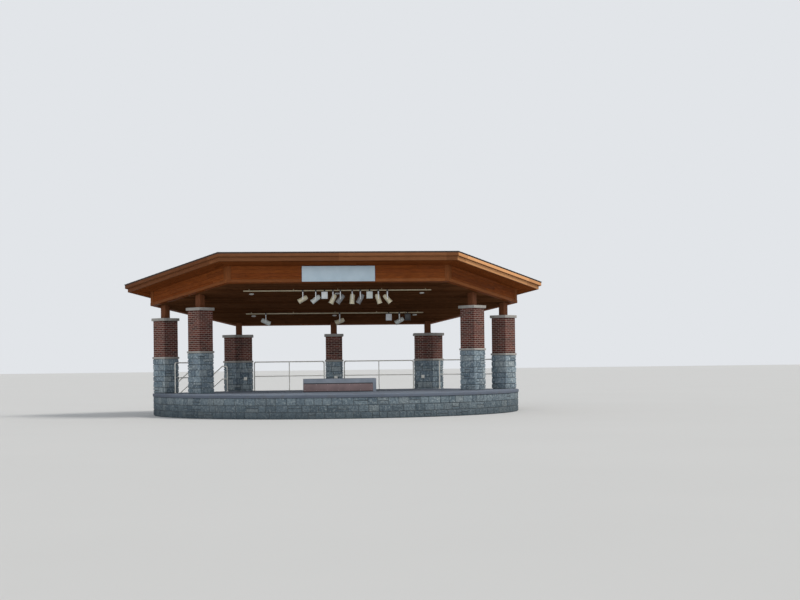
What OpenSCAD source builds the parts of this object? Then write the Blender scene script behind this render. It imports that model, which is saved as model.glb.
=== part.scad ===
/* [Stage] */
// Height of the stage floor above the ground
deck_h = 762; // [450:1:1000]
// Depth of the rounded apron in front of the line through the side piers
apron_d = 6550; // [4500:10:6550]
// Thickness of the floor slab
slab_t = 90; // [60:1:150]
// How far the slab stands out past the stage walls
slab_lip = 20; // [0:1:60]
// Thickness of the stone-faced stage walls
wall_t = 300; // [200:10:400]

/* [Pier plan] */
// Width of a brick pier
pier_w = 610; // [450:1:750]
// Distance of each side pier from the middle
side_x = 6120; // [5700:10:6600]
// Distance of each front pier from the middle
front_x = 4800; // [4300:10:5000]
// Distance of the back piers' outer face behind the side piers
back_y = 2840; // [2400:10:3200]
// Length of each leg of the bent corner piers
leg_l = 610; // [450:1:800]

/* [Pier heights] */
// Top of the stone base above the floor, front piers
front_base = 1480; // [1000:5:1700]
// Top of the stone base above the floor, side piers
side_base = 1300; // [900:5:1500]
// Top of the stone base above the floor, back piers
back_base = 1140; // [800:5:1250]
// Height of the brickwork, front piers
front_brick = 1422; // [1000:1:1600]
// Height of the brickwork, side piers
side_brick = 1287; // [900:1:1400]
// Height of the brickwork, back piers
back_brick = 880; // [600:1:1000]
// How far the stone base stands out past the brickwork
base_proud = 20; // [5:1:40]
// Thickness of the stone ledge on the base
ledge_t = 70; // [40:1:110]
// How far the ledge stands out past the brickwork
ledge_proud = 36; // [20:1:70]
// Thickness of the stone cap
cap_t = 100; // [60:1:140]
// How far the cap stands out past the brickwork
cap_proud = 50; // [20:1:90]
// Width of the boxed timber post on each pier
post_w = 230; // [150:1:280]

/* [Ceiling and frieze] */
// Height of the ceiling above the floor, over the line through the side piers
ceil_z = 3137; // [3000:5:3400]
// Slope of the ceiling, falling to the back
ceil_pitch = 13; // [11:0.1:14]
// Thickness of the ceiling boards and their battens
ceil_t = 40; // [25:1:60]
// Distance of the front frieze in front of the side piers
front_y = 2820; // [2600:10:3100]
// How far the frieze stands out past the brick faces
frieze_out = 50; // [20:1:80]
// Thickness of the boxed beam behind the frieze boards
frieze_t = 140; // [100:1:200]
// Height of the trim band along the frieze's lower edge
trim_h = 100; // [60:1:140]
// Thickness of the trim band
trim_t = 20; // [12:1:30]
// Width of each leg of the corner boards
corner_w = 140; // [80:1:200]
// Thickness of the corner boards
corner_t = 14; // [8:1:20]

/* [Roof] */
// Slope of the roof, falling to the back
roof_pitch = 14; // [12:0.1:15]
// Height of the fascia's lower edge above the floor, over the side piers
eave_z = 3629; // [3550:1:3800]
// Height of the lower fascia board
fascia_low_h = 130; // [90:1:180]
// Height of the upper fascia board
fascia_up_h = 132; // [90:1:180]
// Overhang of the lower fascia board past the frieze
eave_low = 582; // [450:1:700]
// How far the upper fascia board stands out past the lower one
eave_step = 70; // [40:1:100]
// Thickness of the lower fascia board
fascia_t = 45; // [30:1:60]
// Thickness of the soffit boards
soffit_t = 20; // [15:1:30]
// How far the fascia hangs below the soffit
soffit_drop = 10; // [5:1:30]
// Thickness of the roof deck
deck_t = 60; // [40:1:90]
// Thickness of the roof covering
cover_t = 25; // [15:1:40]
// How far the covering stands out past the fascia
cover_out = 15; // [5:1:30]

/* [Stair] */
// Number of risers from the ground to the floor
risers = 5; // [4:1:6]
// Depth of one tread
tread = 254; // [240:1:320]
// Distance between the two handrails
stair_rails = 1370; // [1000:10:1500]
// Distance from the corner pier's stone to the first handrail
stair_gap = 70; // [50:1:150]
// How far the steps run out past each handrail
step_side = 60; // [40:1:65]

/* [Rails] */
// Diameter of the top tubes and posts
tube_d = 42; // [36:1:50]
// Diameter of the middle tubes
mid_d = 34; // [26:1:35]
// Height of a guard's top tube above the floor
guard_h = 1085; // [1000:5:1150]
// Height of a guard's middle tube above the floor
guard_mid = 545; // [450:5:600]
// Bend radius where a top tube turns down
bend_r = 70; // [50:1:100]
// Height of the handrail above the step edges
hand_h = 940; // [860:5:960]
// Height of the middle tube above the step edges
hand_mid = 460; // [400:5:520]
// Level stretch of handrail over the landing
landing_run = 270; // [200:5:330]
// Distance from the centre of a guard's end post to the stone beside it
post_gap = 60; // [50:1:100]
// Distance between the left guard's end post and the handrail post beside it
post_space = 110; // [100:1:150]
// Distance from the centre of the left guard's end post to the side pier's stone
guard_side = 50; // [50:1:80]
// Distance of that end post from the side pier's inner corner, along the stone
guard_start = 220; // [150:5:300]
// Diameter of the foot plate under each post
foot_d = 90; // [60:1:98]
// Thickness of a foot plate
foot_t = 8; // [5:1:12]
// Number of posts in each straight guard
guard_posts = 3; // [2:1:5]

/* [Light bars] */
// Length of each light bar
bar_l = 6540; // [5500:10:7000]
// Diameter of each light bar
bar_d = 42; // [34:1:44]
// Distance of each bar's centre below the ceiling
bar_drop = 60; // [45:1:120]
// Place of the front light bar, in front of the side piers
bar_front = 2000; // [1500:10:2300]
// Place of the back light bar, behind the side piers
bar_back = 950; // [600:10:1300]
// Number of hanger rods on a bar
hangers = 5; // [3:1:7]
// Distance of the first hanger rod from the bar's end
hanger_in = 200; // [100:10:400]
// Diameter of a hanger rod
hanger_d = 20; // [12:1:30]

/* [Lamps] */
// Diameter of a lamp can at its front rim
can_d = 180; // [140:1:210]
// Length of a lamp can
can_l = 350; // [280:1:400]
// Distance from a bar to the middle of its lamp cans
can_drop = 300; // [260:1:360]
// How far the front rim stands out past the can
can_rim = 7; // [3:1:12]
// Length of the front rim
can_rim_l = 34; // [15:1:60]
// Wall of the can in front of the lens
can_wall = 6; // [3:1:10]
// Depth of the lens behind the front rim
can_lens = 110; // [60:1:150]
// Length of the tapered back of a can
can_back = 55; // [30:1:80]
// Diameter of a can's flat back
can_back_d = 120; // [80:1:130]
// Width of the strap that a can hangs in
strap_w = 30; // [20:1:45]
// Thickness of the strap
strap_t = 5; // [3:1:8]
// Gap between the strap and the rim
strap_gap = 10; // [5:1:20]
// Diameter of the pivot knobs
knob_d = 34; // [20:1:45]
// How far a pivot knob stands out past the strap
knob_out = 14; // [5:1:25]
// Width of a lamp's clamp, along the bar
clamp_w = 50; // [35:1:70]
// Depth of a lamp's clamp, across the bar
clamp_d = 60; // [54:1:80]
// How far a clamp reaches above its bar's centre
clamp_up = 26; // [24:1:40]
// How far a clamp reaches below its bar's centre
clamp_down = 46; // [35:1:60]
// Width of a box lamp
box_w = 210; // [150:1:260]
// Depth of a box lamp
box_d = 160; // [110:1:200]
// Height of a box lamp
box_h = 240; // [150:1:280]
// Width of the rim round a box lamp's glass
box_rim = 14; // [8:1:25]
// Depth of a box lamp's glass behind its rim
box_glass = 12; // [5:1:30]

/* [Downlights and outlets] */
// Diameter of a downlight's ring
down_d = 170; // [120:1:220]
// How far a downlight's ring stands below the ceiling
down_t = 15; // [8:1:25]
// Thickness of a downlight's lens and of its ring's outer edge
down_lens = 5; // [3:1:7]
// Width of a downlight's ring
down_ring = 24; // [15:1:35]
// Distance between downlights in a row
down_step = 3000; // [2400:10:3300]
// Place of the front downlights, in front of the side piers
down_front = 1420; // [1000:10:1700]
// Place of the back downlights, behind the side piers
down_back = 1480; // [1400:10:2200]
// Width and height of an outlet box
outlet_w = 120; // [80:1:160]
// How far an outlet box stands out from the stone
outlet_d = 50; // [30:1:80]
// Height of an outlet box's lower edge above the floor
outlet_up = 405; // [300:5:600]
// Distance of a corner pier's outlet from that pier's end
outlet_in = 250; // [150:5:270]
// Distance of the middle outlet from the centre of its pier
outlet_off = 50; // [-150:5:150]

/* [Sign and platform] */
// Width of the sign panel
sign_w = 2500; // [1800:10:2700]
// Height of the sign panel
sign_h = 530; // [400:5:535]
// Thickness of the sign panel
sign_t = 60; // [40:1:90]
// Width of the low platform's front board
platform_w = 2440; // [1800:10:2700]
// How far the platform runs on past its front board on the right
platform_over = 120; // [0:5:200]
// Height of the low platform
platform_h = 460; // [300:5:500]
// Depth of the low platform
platform_d = 1220; // [900:10:1500]
// Place of the platform's front, in front of the side piers
platform_out = 1500; // [1300:10:1800]
// Height of the platform's front board
board_h = 310; // [200:5:380]
// Thickness of the platform's front board
board_t = 20; // [12:1:30]

/* [Hidden] */

// Facets that count as a true circle
ROUND = 48;
WIDE = 240;
// Reach of the helper shapes that cut the building into halves and layers
FAR = 12000;
// Length of a square's side for each unit along its diagonal
diag = 1 / sqrt(2);
// Line that the brick faces of the sloping sides share, as distance x + y
face = side_x + pier_w * diag;
// The apron's arc passes through both ends of that line
apron_r = (pow(face, 2) + pow(apron_d, 2)) / (2 * apron_d);
apron_cy = apron_r - apron_d;
// Where the back corner piers' outer faces meet
corner_x = face - back_y;
half_turn = tan(22.5);
floor_under = deck_h - slab_t;
riser = deck_h / risers;
tube_r = tube_d / 2;
// How much wider than its tube an elbow fitting is, and how far the tube runs in
elbow_out = 8;
elbow_lap = 8;
// Centre line of the guards along the back, and where those guards start and end
guard_y = back_y - pier_w / 2;
guard_in = pier_w / 2 + base_proud + post_gap;
guard_out = corner_x - leg_l - base_proud - post_gap;
// Lamp places along a bar: distance from the middle, and lean of the can to the right
front_cans = [[-1216, -60], [-767, -52], [-168, -26], [90, -38], [502, -4],
    [785, -30], [1415, 18], [1728, 40]];
back_cans = [[-2545, 65], [171, -68], [2381, -60]];
front_boxes = [-462, 1106];
back_boxes = [1989, 2690];
// Distance from a bar's line to each arm of a strap
strap_y = can_d / 2 + strap_gap + strap_t / 2;
// Height of the underside of the roof deck over the side piers
deck_under = eave_z + fascia_low_h + fascia_up_h - deck_t;
cover_z = eave_z + fascia_low_h + fascia_up_h;
eave_up = eave_low + eave_step;
stone = "#7f8a92";
brick = "#8a4a3c";
lime = "#c9c4b4";
timber = "#8a4a22";
concrete = "#a9adb0";
rail_paint = "#d8d5c8";

// Stage outline, pushed out by off
module stage_plan(off) {
    intersection() {
        translate([0, apron_cy]) circle(apron_r + off, $fn = WIDE);
        translate([-FAR, -2 * FAR]) square([2 * FAR, 2 * FAR]);
    }
    back_plan(off);
}

// The part of the stage behind the side piers
module back_plan(off) {
    wide = face + off / diag;
    deep = back_y + off;
    polygon([[-wide, 0], [wide, 0], [wide - deep, deep], [deep - wide, deep]]);
}

// The line through the front and side piers runs at 45 degrees, so front_x sets
// both how far out and how far forward a front pier stands
module front_pair(w) {
    for (side = [-1, 1])
        translate([side * front_x, front_x - side_x]) rotate(45) square(w, center = true);
}

module side_pair(w) {
    for (side = [-1, 1])
        translate([side * side_x, 0]) rotate(45) square(w, center = true);
}

// Bent pier at a back corner: one leg along the back, one along the sloping side.
// All faces are pushed out by off, and the outer two by out more.
module corner_plan(off, out = 0) {
    over = off + out;
    along = leg_l + off;
    deep = pier_w + off;
    polygon([
        [corner_x - along, back_y + over],
        [corner_x + over * half_turn, back_y + over],
        [corner_x + (along + over) * diag, back_y + (over - along) * diag],
        [corner_x + (along - deep) * diag, back_y - (along + deep) * diag],
        [corner_x - deep * half_turn, back_y - deep],
        [corner_x - along, back_y - deep]]);
}

module corner_pair(off, out = 0) {
    corner_plan(off, out);
    mirror([1, 0]) corner_plan(off, out);
}

module centre_plan(off, out = 0) {
    width = pier_w + 2 * off;
    translate([-width / 2, back_y - pier_w - off]) square([width, width + out]);
}

// What the piers at the edge take out of the stage. Each cut runs on outwards
// through the edge that the pier stands in.
module edge_piers_cut() {
    reach = slab_lip + wall_t;
    width = pier_w + 2 * base_proud;
    for (side = [0, 1]) mirror([side, 0]) translate([side_x - width * diag, 0]) rotate(-45)
        square([width, width + reach]);
    corner_pair(base_proud, reach);
    centre_plan(base_proud, reach);
}

module slab_of(z0, z1) {
    translate([0, 0, z0]) linear_extrude(z1 - z0) children();
}

// Everything between two planes that fall to the back.
// z0 and z1 are heights above the floor on the line through the side piers.
module layer(z0, pitch0, z1, pitch1) {
    rise0 = FAR * tan(pitch0);
    rise1 = FAR * tan(pitch1);
    translate([0, 0, deck_h]) rotate([90, 0, 90]) linear_extrude(2 * FAR, center = true)
        polygon([[-FAR, z0 + rise0], [FAR, z0 - rise0], [FAR, z1 - rise1], [-FAR, z1 + rise1]]);
}

// Corners of the roof plan, pushed out by off, from the front left one round
function roof_corners(off) =
    let (wide = face + (frieze_out + off) / diag,
         front = front_y + off,
         back = back_y + frieze_out + off)
    [[front - wide, -front], [wide - front, -front], [wide, 0],
     [wide - back, back], [back - wide, back], [-wide, 0]];

module roof_plan(off) {
    polygon(roof_corners(off));
}

module roof_ring(outer, inner) {
    difference() {
        roof_plan(outer);
        roof_plan(inner);
    }
}

module tall() {
    linear_extrude(FAR) children();
}

// One side of the frieze, mitred to its neighbours
module frieze_side(i) {
    outer = roof_corners(0);
    inner = roof_corners(-frieze_t);
    j = (i + 1) % 6;
    color(timber) intersection() {
        tall() polygon([outer[i], outer[j], inner[j], inner[i]]);
        layer(ceil_z, ceil_pitch, deck_under, roof_pitch);
    }
}

module stage_fill() {
    color(concrete) slab_of(0, floor_under) difference() {
        stage_plan(-wall_t);
        edge_piers_cut();
    }
}

module stage_slab() {
    color(concrete) slab_of(floor_under, deck_h) difference() {
        stage_plan(slab_lip);
        edge_piers_cut();
    }
}

// Outline of the walls, between the stage's face and the fill
module wall_plan() {
    difference() {
        stage_plan(0);
        stage_plan(-wall_t);
        edge_piers_cut();
    }
}

module apron_wall() {
    color(stone) slab_of(0, floor_under) intersection() {
        wall_plan();
        translate([-FAR, -2 * FAR]) square([2 * FAR, 2 * FAR]);
    }
}

// Walls between the side piers and the back corner piers
module side_wall(side) {
    color(stone) slab_of(0, floor_under) intersection() {
        wall_plan();
        translate([side > 0 ? corner_x : -corner_x - FAR, 0]) square([FAR, FAR]);
    }
}

module back_wall() {
    color(stone) slab_of(0, floor_under) intersection() {
        wall_plan();
        translate([-corner_x, 0]) square([2 * corner_x, FAR]);
    }
}

module front_pier_bases() {
    color(stone) slab_of(deck_h, deck_h + front_base - ledge_t) front_pair(pier_w + 2 * base_proud);
}

module side_pier_bases() {
    color(stone) slab_of(0, deck_h + side_base - ledge_t) side_pair(pier_w + 2 * base_proud);
}

module corner_pier_bases() {
    color(stone) slab_of(0, deck_h + back_base - ledge_t) corner_pair(base_proud);
}

module centre_pier_base() {
    color(stone) slab_of(0, deck_h + back_base - ledge_t) centre_plan(base_proud);
}

module brickwork(base, height) {
    color(brick) slab_of(deck_h + base, deck_h + base + height) children();
}

module front_pier_brick() {
    brickwork(front_base, front_brick) front_pair(pier_w);
}

module side_pier_brick() {
    brickwork(side_base, side_brick) side_pair(pier_w);
}

module corner_pier_brick() {
    brickwork(back_base, back_brick) corner_pair(0);
}

module centre_pier_brick() {
    brickwork(back_base, back_brick) centre_plan(0);
}

module ledge(base) {
    color(lime) slab_of(deck_h + base - ledge_t, deck_h + base) children();
}

module pier_ledges() {
    ledge(front_base) front_pair(pier_w + 2 * ledge_proud);
    ledge(side_base) side_pair(pier_w + 2 * ledge_proud);
    ledge(back_base) corner_pair(ledge_proud);
    ledge(back_base) centre_plan(ledge_proud);
}

module cap(top) {
    color(lime) slab_of(deck_h + top, deck_h + top + cap_t) children();
}

module pier_caps() {
    cap(front_base + front_brick) front_pair(pier_w + 2 * cap_proud);
    cap(side_base + side_brick) side_pair(pier_w + 2 * cap_proud);
    cap(back_base + back_brick) corner_pair(cap_proud);
    cap(back_base + back_brick) centre_plan(cap_proud);
}

module post(x, y, turn, z) {
    translate([x, y, deck_h + z]) rotate(turn)
        translate([-post_w / 2, -post_w / 2, 0]) cube([post_w, post_w, FAR]);
}

module roof_posts() {
    color(timber) intersection() {
        union() {
            for (side = [-1, 1]) {
                post(side * front_x, front_x - side_x, 45, front_base + front_brick + cap_t);
                post(side * side_x, 0, 45, side_base + side_brick + cap_t);
                post(side * (corner_x - pier_w * half_turn / 2), back_y - pier_w / 2, 0,
                    back_base + back_brick + cap_t);
            }
            post(0, back_y - pier_w / 2, 0, back_base + back_brick + cap_t);
        }
        layer(-deck_h, 0, ceil_z, ceil_pitch);
    }
}

module frieze_front() { frieze_side(0); }
module frieze_front_right() { frieze_side(1); }
module frieze_back_right() { frieze_side(2); }
module frieze_back() { frieze_side(3); }
module frieze_back_left() { frieze_side(4); }
module frieze_front_left() { frieze_side(5); }

// Board bent round corner i of the frieze
module corner_board(i) {
    ring = roof_corners(0);
    at = ring[i];
    before = ring[(i + 5) % 6] - at;
    after = ring[(i + 1) % 6] - at;
    u = before / norm(before);
    v = after / norm(after);
    polygon([
        at, at + corner_w * u,
        at + corner_w * u + corner_t * [-u.y, u.x],
        roof_corners(corner_t)[i],
        at + corner_w * v + corner_t * [v.y, -v.x],
        at + corner_w * v]);
}

// Band along the frieze's lower edge, with the corner boards standing on it
module frieze_trim() {
    color("#a5673a") {
        difference() {
            intersection() {
                tall() roof_ring(trim_t, 0);
                layer(ceil_z, ceil_pitch, ceil_z + trim_h, ceil_pitch);
            }
            sign_box();
        }
        for (i = [0 : 5]) intersection() {
            tall() corner_board(i);
            layer(ceil_z + trim_h, ceil_pitch, eave_z + soffit_drop, roof_pitch);
        }
    }
}

module ceiling() {
    color(timber) intersection() {
        tall() roof_plan(-frieze_t);
        layer(ceil_z, ceil_pitch, ceil_z + ceil_t, ceil_pitch);
    }
}

module soffit() {
    color(timber) intersection() {
        tall() roof_ring(eave_low - fascia_t, 0);
        layer(eave_z + soffit_drop, roof_pitch, eave_z + soffit_drop + soffit_t, roof_pitch);
    }
}

module fascia_lower() {
    color(timber) intersection() {
        tall() roof_ring(eave_low, eave_low - fascia_t);
        layer(eave_z, roof_pitch, eave_z + fascia_low_h, roof_pitch);
    }
}

module fascia_upper() {
    color(timber) intersection() {
        tall() roof_ring(eave_up, eave_low - fascia_t);
        layer(eave_z + fascia_low_h, roof_pitch, cover_z, roof_pitch);
    }
}

module roof_deck() {
    color(timber) intersection() {
        tall() roof_plan(eave_low - fascia_t);
        layer(deck_under, roof_pitch, cover_z, roof_pitch);
    }
}

module roof_covering() {
    color("#4a4642") intersection() {
        tall() roof_plan(eave_up + cover_out);
        layer(cover_z, roof_pitch, cover_z + cover_t, roof_pitch);
    }
}

// Puts the stair's own frame in place: x runs out from the stage, y along its
// edge from the corner pier's stone towards the side pier
module at_stair() {
    along = leg_l + base_proud;
    translate([-corner_x - along * diag, back_y - along * diag]) rotate(135)
        children();
}

// A step is the block under its own tread
module step_block(i) {
    color(concrete) at_stair()
        translate([slab_lip + (risers - 1 - i) * tread, stair_gap - step_side, 0])
            cube([tread, stair_rails + 2 * step_side, i * riser]);
}

module stair_step_1() { step_block(1); }
module stair_step_2() { step_block(2); }
module stair_step_3() { step_block(3); }
module stair_step_4() { step_block(4); }

// Tube along x
module tube_x(x0, x1, z, d) {
    translate([x0, 0, z]) rotate([0, 90, 0]) cylinder(d = d, h = x1 - x0, $fn = ROUND);
}

module tube_z(x, z0, z1) {
    translate([x, 0, z0]) cylinder(d = tube_d, h = z1 - z0, $fn = ROUND);
}

// Elbow fitting that starts at the origin heading along +x and turns down.
// It is wider than the tubes, which run a little way into it.
module elbow(angle, d) {
    translate([0, 0, -bend_r]) rotate([90, 0, 0]) rotate(90 - angle)
        rotate_extrude(angle = angle, $fn = ROUND)
            translate([bend_r, 0]) circle(d = d + elbow_out, $fn = ROUND);
}

// Elbow from the top of a post at x into a tube that runs along +x
module post_elbow(x, z) {
    translate([x + bend_r, 0, z]) mirror([1, 0, 0]) elbow(90, tube_d);
}

// Round plate that a post stands on
module foot_plate(x, z) {
    translate([x, 0, z]) cylinder(d = foot_d, h = foot_t, $fn = ROUND);
}

// Guard of the given length with posts at both ends and at each place in between
module guard(length, between) {
    color(rail_paint) translate([0, 0, deck_h]) {
        for (x = concat([0, length], between)) foot_plate(x, 0);
        for (x = [0, length]) tube_z(x, 0, guard_h - bend_r + elbow_lap);
        post_elbow(0, guard_h);
        translate([length, 0, 0]) mirror([1, 0, 0]) post_elbow(0, guard_h);
        tube_x(bend_r - elbow_lap, length - bend_r + elbow_lap, guard_h, tube_d);
        tube_x(0, length, guard_mid, mid_d);
        for (x = between) translate([x, 0, 0]) cylinder(d = mid_d, h = guard_h, $fn = ROUND);
    }
}

// Guard between two points on the floor
module guard_between(a, b, posts) {
    gap = b - a;
    length = norm(gap);
    step = length / (posts - 1);
    translate([a.x, a.y, 0]) rotate(atan2(gap.y, gap.x))
        guard(length, [for (i = [1 : 1 : posts - 2]) i * step]);
}

module guard_back_left() {
    guard_between([-guard_out, guard_y], [-guard_in, guard_y], guard_posts);
}

module guard_back_right() {
    guard_between([guard_in, guard_y], [guard_out, guard_y], guard_posts);
}

// Point measured along the sloping side from the back corner, and inwards from its face
function side_point(along, in) =
    [corner_x + (along - in) * diag, back_y - (along + in) * diag];

// Sloping side on the right, from the corner pier to the side pier
module guard_right() {
    side_long = (side_x - corner_x + back_y) * diag;
    from = leg_l + base_proud + post_gap;
    to = side_long - pier_w / 2 - base_proud - post_gap;
    guard_between(side_point(from, pier_w / 2), side_point(to, pier_w / 2), guard_posts);
}

// Point in the stair's frame, as seen from above: out from the stage and along its edge
function stair_point(out, along) =
    let (from = leg_l + base_proud + along)
    [-corner_x - (from + out) * diag, back_y - (from - out) * diag];

// Short guard that shields the stair's opening, from beside the side pier to the handrail
module guard_left() {
    corner = [(pier_w + 2 * base_proud) * diag - side_x, 0];
    start = corner + [(guard_side - guard_start) * diag, -(guard_side + guard_start) * diag];
    end = stair_point(slab_lip - landing_run, stair_gap + stair_rails + post_space);
    guard_between(start, end, 2);
}

// Tube that runs level from x0 to the first step's edge, turns in an elbow and
// follows the steps as far as the given length of slope
module stair_tube(x0, z, slope, long, d) {
    bend = bend_r * tan(slope / 2);
    tube_x(x0, elbow_lap - bend, z, d);
    translate([-bend, 0, z]) elbow(slope, d);
    translate([0, 0, z]) rotate([0, slope, 0]) tube_x(bend - elbow_lap, long, 0, d);
}

// Handrail: a post on the landing, a level stretch, a slope along the steps and
// a last post that stands on the ground
module handrail() {
    run = (risers - 1) * tread;
    drop = (risers - 1) * riser;
    slope = atan2(drop, run);
    long = norm([run, drop]);
    foot = bend_r * tan((90 - slope) / 2);
    color(rail_paint) translate([slab_lip, 0, deck_h]) {
        foot_plate(-landing_run, 0);
        foot_plate(run, -deck_h);
        tube_z(-landing_run, 0, hand_h - bend_r + elbow_lap);
        post_elbow(-landing_run, hand_h);
        stair_tube(bend_r - landing_run - elbow_lap, hand_h, slope, long - foot + elbow_lap, tube_d);
        translate([0, 0, hand_h]) rotate([0, slope, 0]) translate([long - foot, 0, 0])
            elbow(90 - slope, tube_d);
        tube_z(run, -deck_h, hand_h - drop - foot + elbow_lap);
        stair_tube(-landing_run, hand_mid, slope, long, mid_d);
    }
}

module stair_rail_right() {
    at_stair() translate([0, stair_gap, 0]) handrail();
}

module stair_rail_left() {
    at_stair() translate([0, stair_gap + stair_rails, 0]) handrail();
}

// Height of the ceiling at a place y, above the ground
function ceiling_at(y) = deck_h + ceil_z - y * tan(ceil_pitch);

// Tube under the ceiling, with the rods that it hangs from
module light_bar(y) {
    step = (bar_l - 2 * hanger_in) / (hangers - 1);
    translate([-bar_l / 2, y, ceiling_at(y) - bar_drop]) {
        rotate([0, 90, 0]) cylinder(d = bar_d, h = bar_l, $fn = ROUND);
        for (i = [0 : hangers - 1])
            translate([hanger_in + i * step, 0, 0]) cylinder(d = hanger_d, h = 2 * bar_drop, $fn = ROUND);
    }
}

module light_bars() {
    color("silver") intersection() {
        union() {
            light_bar(-bar_front);
            light_bar(bar_back);
        }
        layer(-deck_h, 0, ceil_z, ceil_pitch);
    }
}

// Block that grips a bar, which runs through the origin along x
module clamp() {
    difference() {
        translate([-clamp_w / 2, -clamp_d / 2, -clamp_down])
            cube([clamp_w, clamp_d, clamp_up + clamp_down]);
        rotate([0, 90, 0]) cylinder(d = bar_d, h = 2 * clamp_w, center = true, $fn = ROUND);
    }
}

// Body of a lamp can, turned in one piece, with its open front towards +z
module can_body() {
    outer = can_d / 2;
    body = outer - can_rim;
    inner = body - can_wall;
    end = can_l / 2;
    rotate_extrude($fn = ROUND) polygon([
        [0, -end], [can_back_d / 2, -end], [body, can_back - end],
        [body, end - can_rim_l], [outer, end - can_rim_l], [outer, end],
        [inner, end], [inner, end - can_lens], [0, end - can_lens]]);
}

// Clamp on a bar, a forked strap and a can that pivots in it
module lamp_can(x, y, lean) {
    arm = can_drop + strap_w / 2 - clamp_down;
    knob = strap_y + strap_t / 2 + knob_out;
    translate([x, y, ceiling_at(y) - bar_drop]) {
        clamp();
        translate([-strap_w / 2, -strap_y - strap_t / 2, -clamp_down - strap_t])
            cube([strap_w, 2 * strap_y + strap_t, strap_t]);
        for (side = [-1, 1]) translate([0, side * strap_y, -clamp_down]) {
            translate([-strap_w / 2, -strap_t / 2, -arm]) cube([strap_w, strap_t, arm]);
        }
        translate([0, 0, -can_drop]) {
            for (side = [0, 180]) rotate(side) translate([0, can_d / 2 - can_rim - can_wall, 0])
                rotate([-90, 0, 0])
                    cylinder(d = knob_d, h = knob - can_d / 2 + can_rim + can_wall, $fn = ROUND);
            rotate([0, 180 - lean, 0]) can_body();
        }
    }
}

// Flood lamp in a box housing, close under the bar, with its glass set into the bottom
module lamp_box(x, y) {
    glass = [box_w - 2 * box_rim, box_d - 2 * box_rim, 2 * box_glass];
    translate([x, y, ceiling_at(y) - bar_drop]) {
        clamp();
        difference() {
            translate([-box_w / 2, -box_d / 2, -clamp_down - box_h]) cube([box_w, box_d, box_h]);
            translate([0, 0, -clamp_down - box_h]) cube(glass, center = true);
        }
    }
}

module stage_lights() {
    color("#cfcabb") {
        for (spot = front_cans) lamp_can(spot[0], -bar_front, spot[1]);
        for (spot = back_cans) lamp_can(spot[0], bar_back, spot[1]);
        for (x = front_boxes) lamp_box(x, -bar_front);
        for (x = back_boxes) lamp_box(x, bar_back);
    }
}

// Turned ring round a flat lens, hung square to the sloping ceiling
module downlight(x, y) {
    outer = down_d / 2;
    mid = outer - down_ring / 2;
    inner = outer - down_ring;
    translate([x, y, ceiling_at(y)]) rotate([-ceil_pitch, 0, 0]) rotate_extrude($fn = ROUND)
        polygon([[0, -down_lens], [inner, -down_lens], [mid, -down_t], [outer, -down_lens],
            [outer, 0], [0, 0]]);
}

module downlights() {
    color("white") for (x = [-down_step, 0, down_step]) {
        downlight(x, -down_front);
        downlight(x, down_back);
    }
}

// The sign fills the front of the frieze, from the ceiling to the soffit
module sign_box() {
    low = ceil_z + front_y * tan(ceil_pitch);
    high = eave_z + soffit_drop + front_y * tan(roof_pitch);
    translate([-sign_w / 2, -front_y - sign_t, deck_h + (low + high - sign_h) / 2])
        cube([sign_w, sign_t, sign_h]);
}

module sign_panel() {
    color("#dfe6ee") sign_box();
}

module platform() {
    color("#cfd2d6") translate([-platform_w / 2, -platform_out, deck_h])
        cube([platform_w + platform_over, platform_d, platform_h]);
}

module platform_front() {
    color("#c9a29b") translate([-platform_w / 2, -platform_out - board_t, deck_h])
        cube([platform_w, board_t, board_h]);
}

module outlet_boxes() {
    inner = back_y - pier_w - base_proud;
    corner_place = corner_x - leg_l + outlet_in;
    color("white") for (x = [-corner_place, outlet_off, corner_place])
        translate([x - outlet_w / 2, inner - outlet_d, deck_h + outlet_up])
            cube([outlet_w, outlet_d, outlet_w]);
}

stage_fill();
stage_slab();
apron_wall();
side_wall(-1);  // left_wall
back_wall();
side_wall(1);  // right_wall
front_pier_bases();
side_pier_bases();
corner_pier_bases();
centre_pier_base();
front_pier_brick();
side_pier_brick();
corner_pier_brick();
centre_pier_brick();
pier_ledges();
pier_caps();
roof_posts();
frieze_front();
frieze_front_left();
frieze_front_right();
frieze_back_left();
frieze_back_right();
frieze_back();
frieze_trim();
ceiling();
soffit();
fascia_lower();
fascia_upper();
roof_deck();
roof_covering();
stair_step_1();
stair_step_2();
stair_step_3();
stair_step_4();
stair_rail_left();
stair_rail_right();
guard_left();
guard_back_left();
guard_back_right();
guard_right();
light_bars();
stage_lights();
downlights();
sign_panel();
platform();
platform_front();
outlet_boxes();
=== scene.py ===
import math
import random

import bmesh
import bpy
from mathutils import Matrix, Vector


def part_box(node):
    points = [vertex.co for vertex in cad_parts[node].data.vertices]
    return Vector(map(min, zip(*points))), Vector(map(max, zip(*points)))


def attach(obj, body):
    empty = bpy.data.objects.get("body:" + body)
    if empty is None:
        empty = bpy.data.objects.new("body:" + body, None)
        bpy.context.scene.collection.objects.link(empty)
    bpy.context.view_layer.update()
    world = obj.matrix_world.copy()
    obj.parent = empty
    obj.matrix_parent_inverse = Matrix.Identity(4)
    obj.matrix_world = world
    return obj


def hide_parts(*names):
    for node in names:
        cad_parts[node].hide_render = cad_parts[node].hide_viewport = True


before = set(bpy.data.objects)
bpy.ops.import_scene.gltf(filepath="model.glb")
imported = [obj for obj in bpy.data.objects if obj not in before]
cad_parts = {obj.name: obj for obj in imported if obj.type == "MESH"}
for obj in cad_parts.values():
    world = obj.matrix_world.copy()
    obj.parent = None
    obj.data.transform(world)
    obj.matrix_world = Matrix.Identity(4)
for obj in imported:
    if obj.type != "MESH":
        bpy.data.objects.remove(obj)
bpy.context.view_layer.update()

scene = bpy.context.scene


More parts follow.
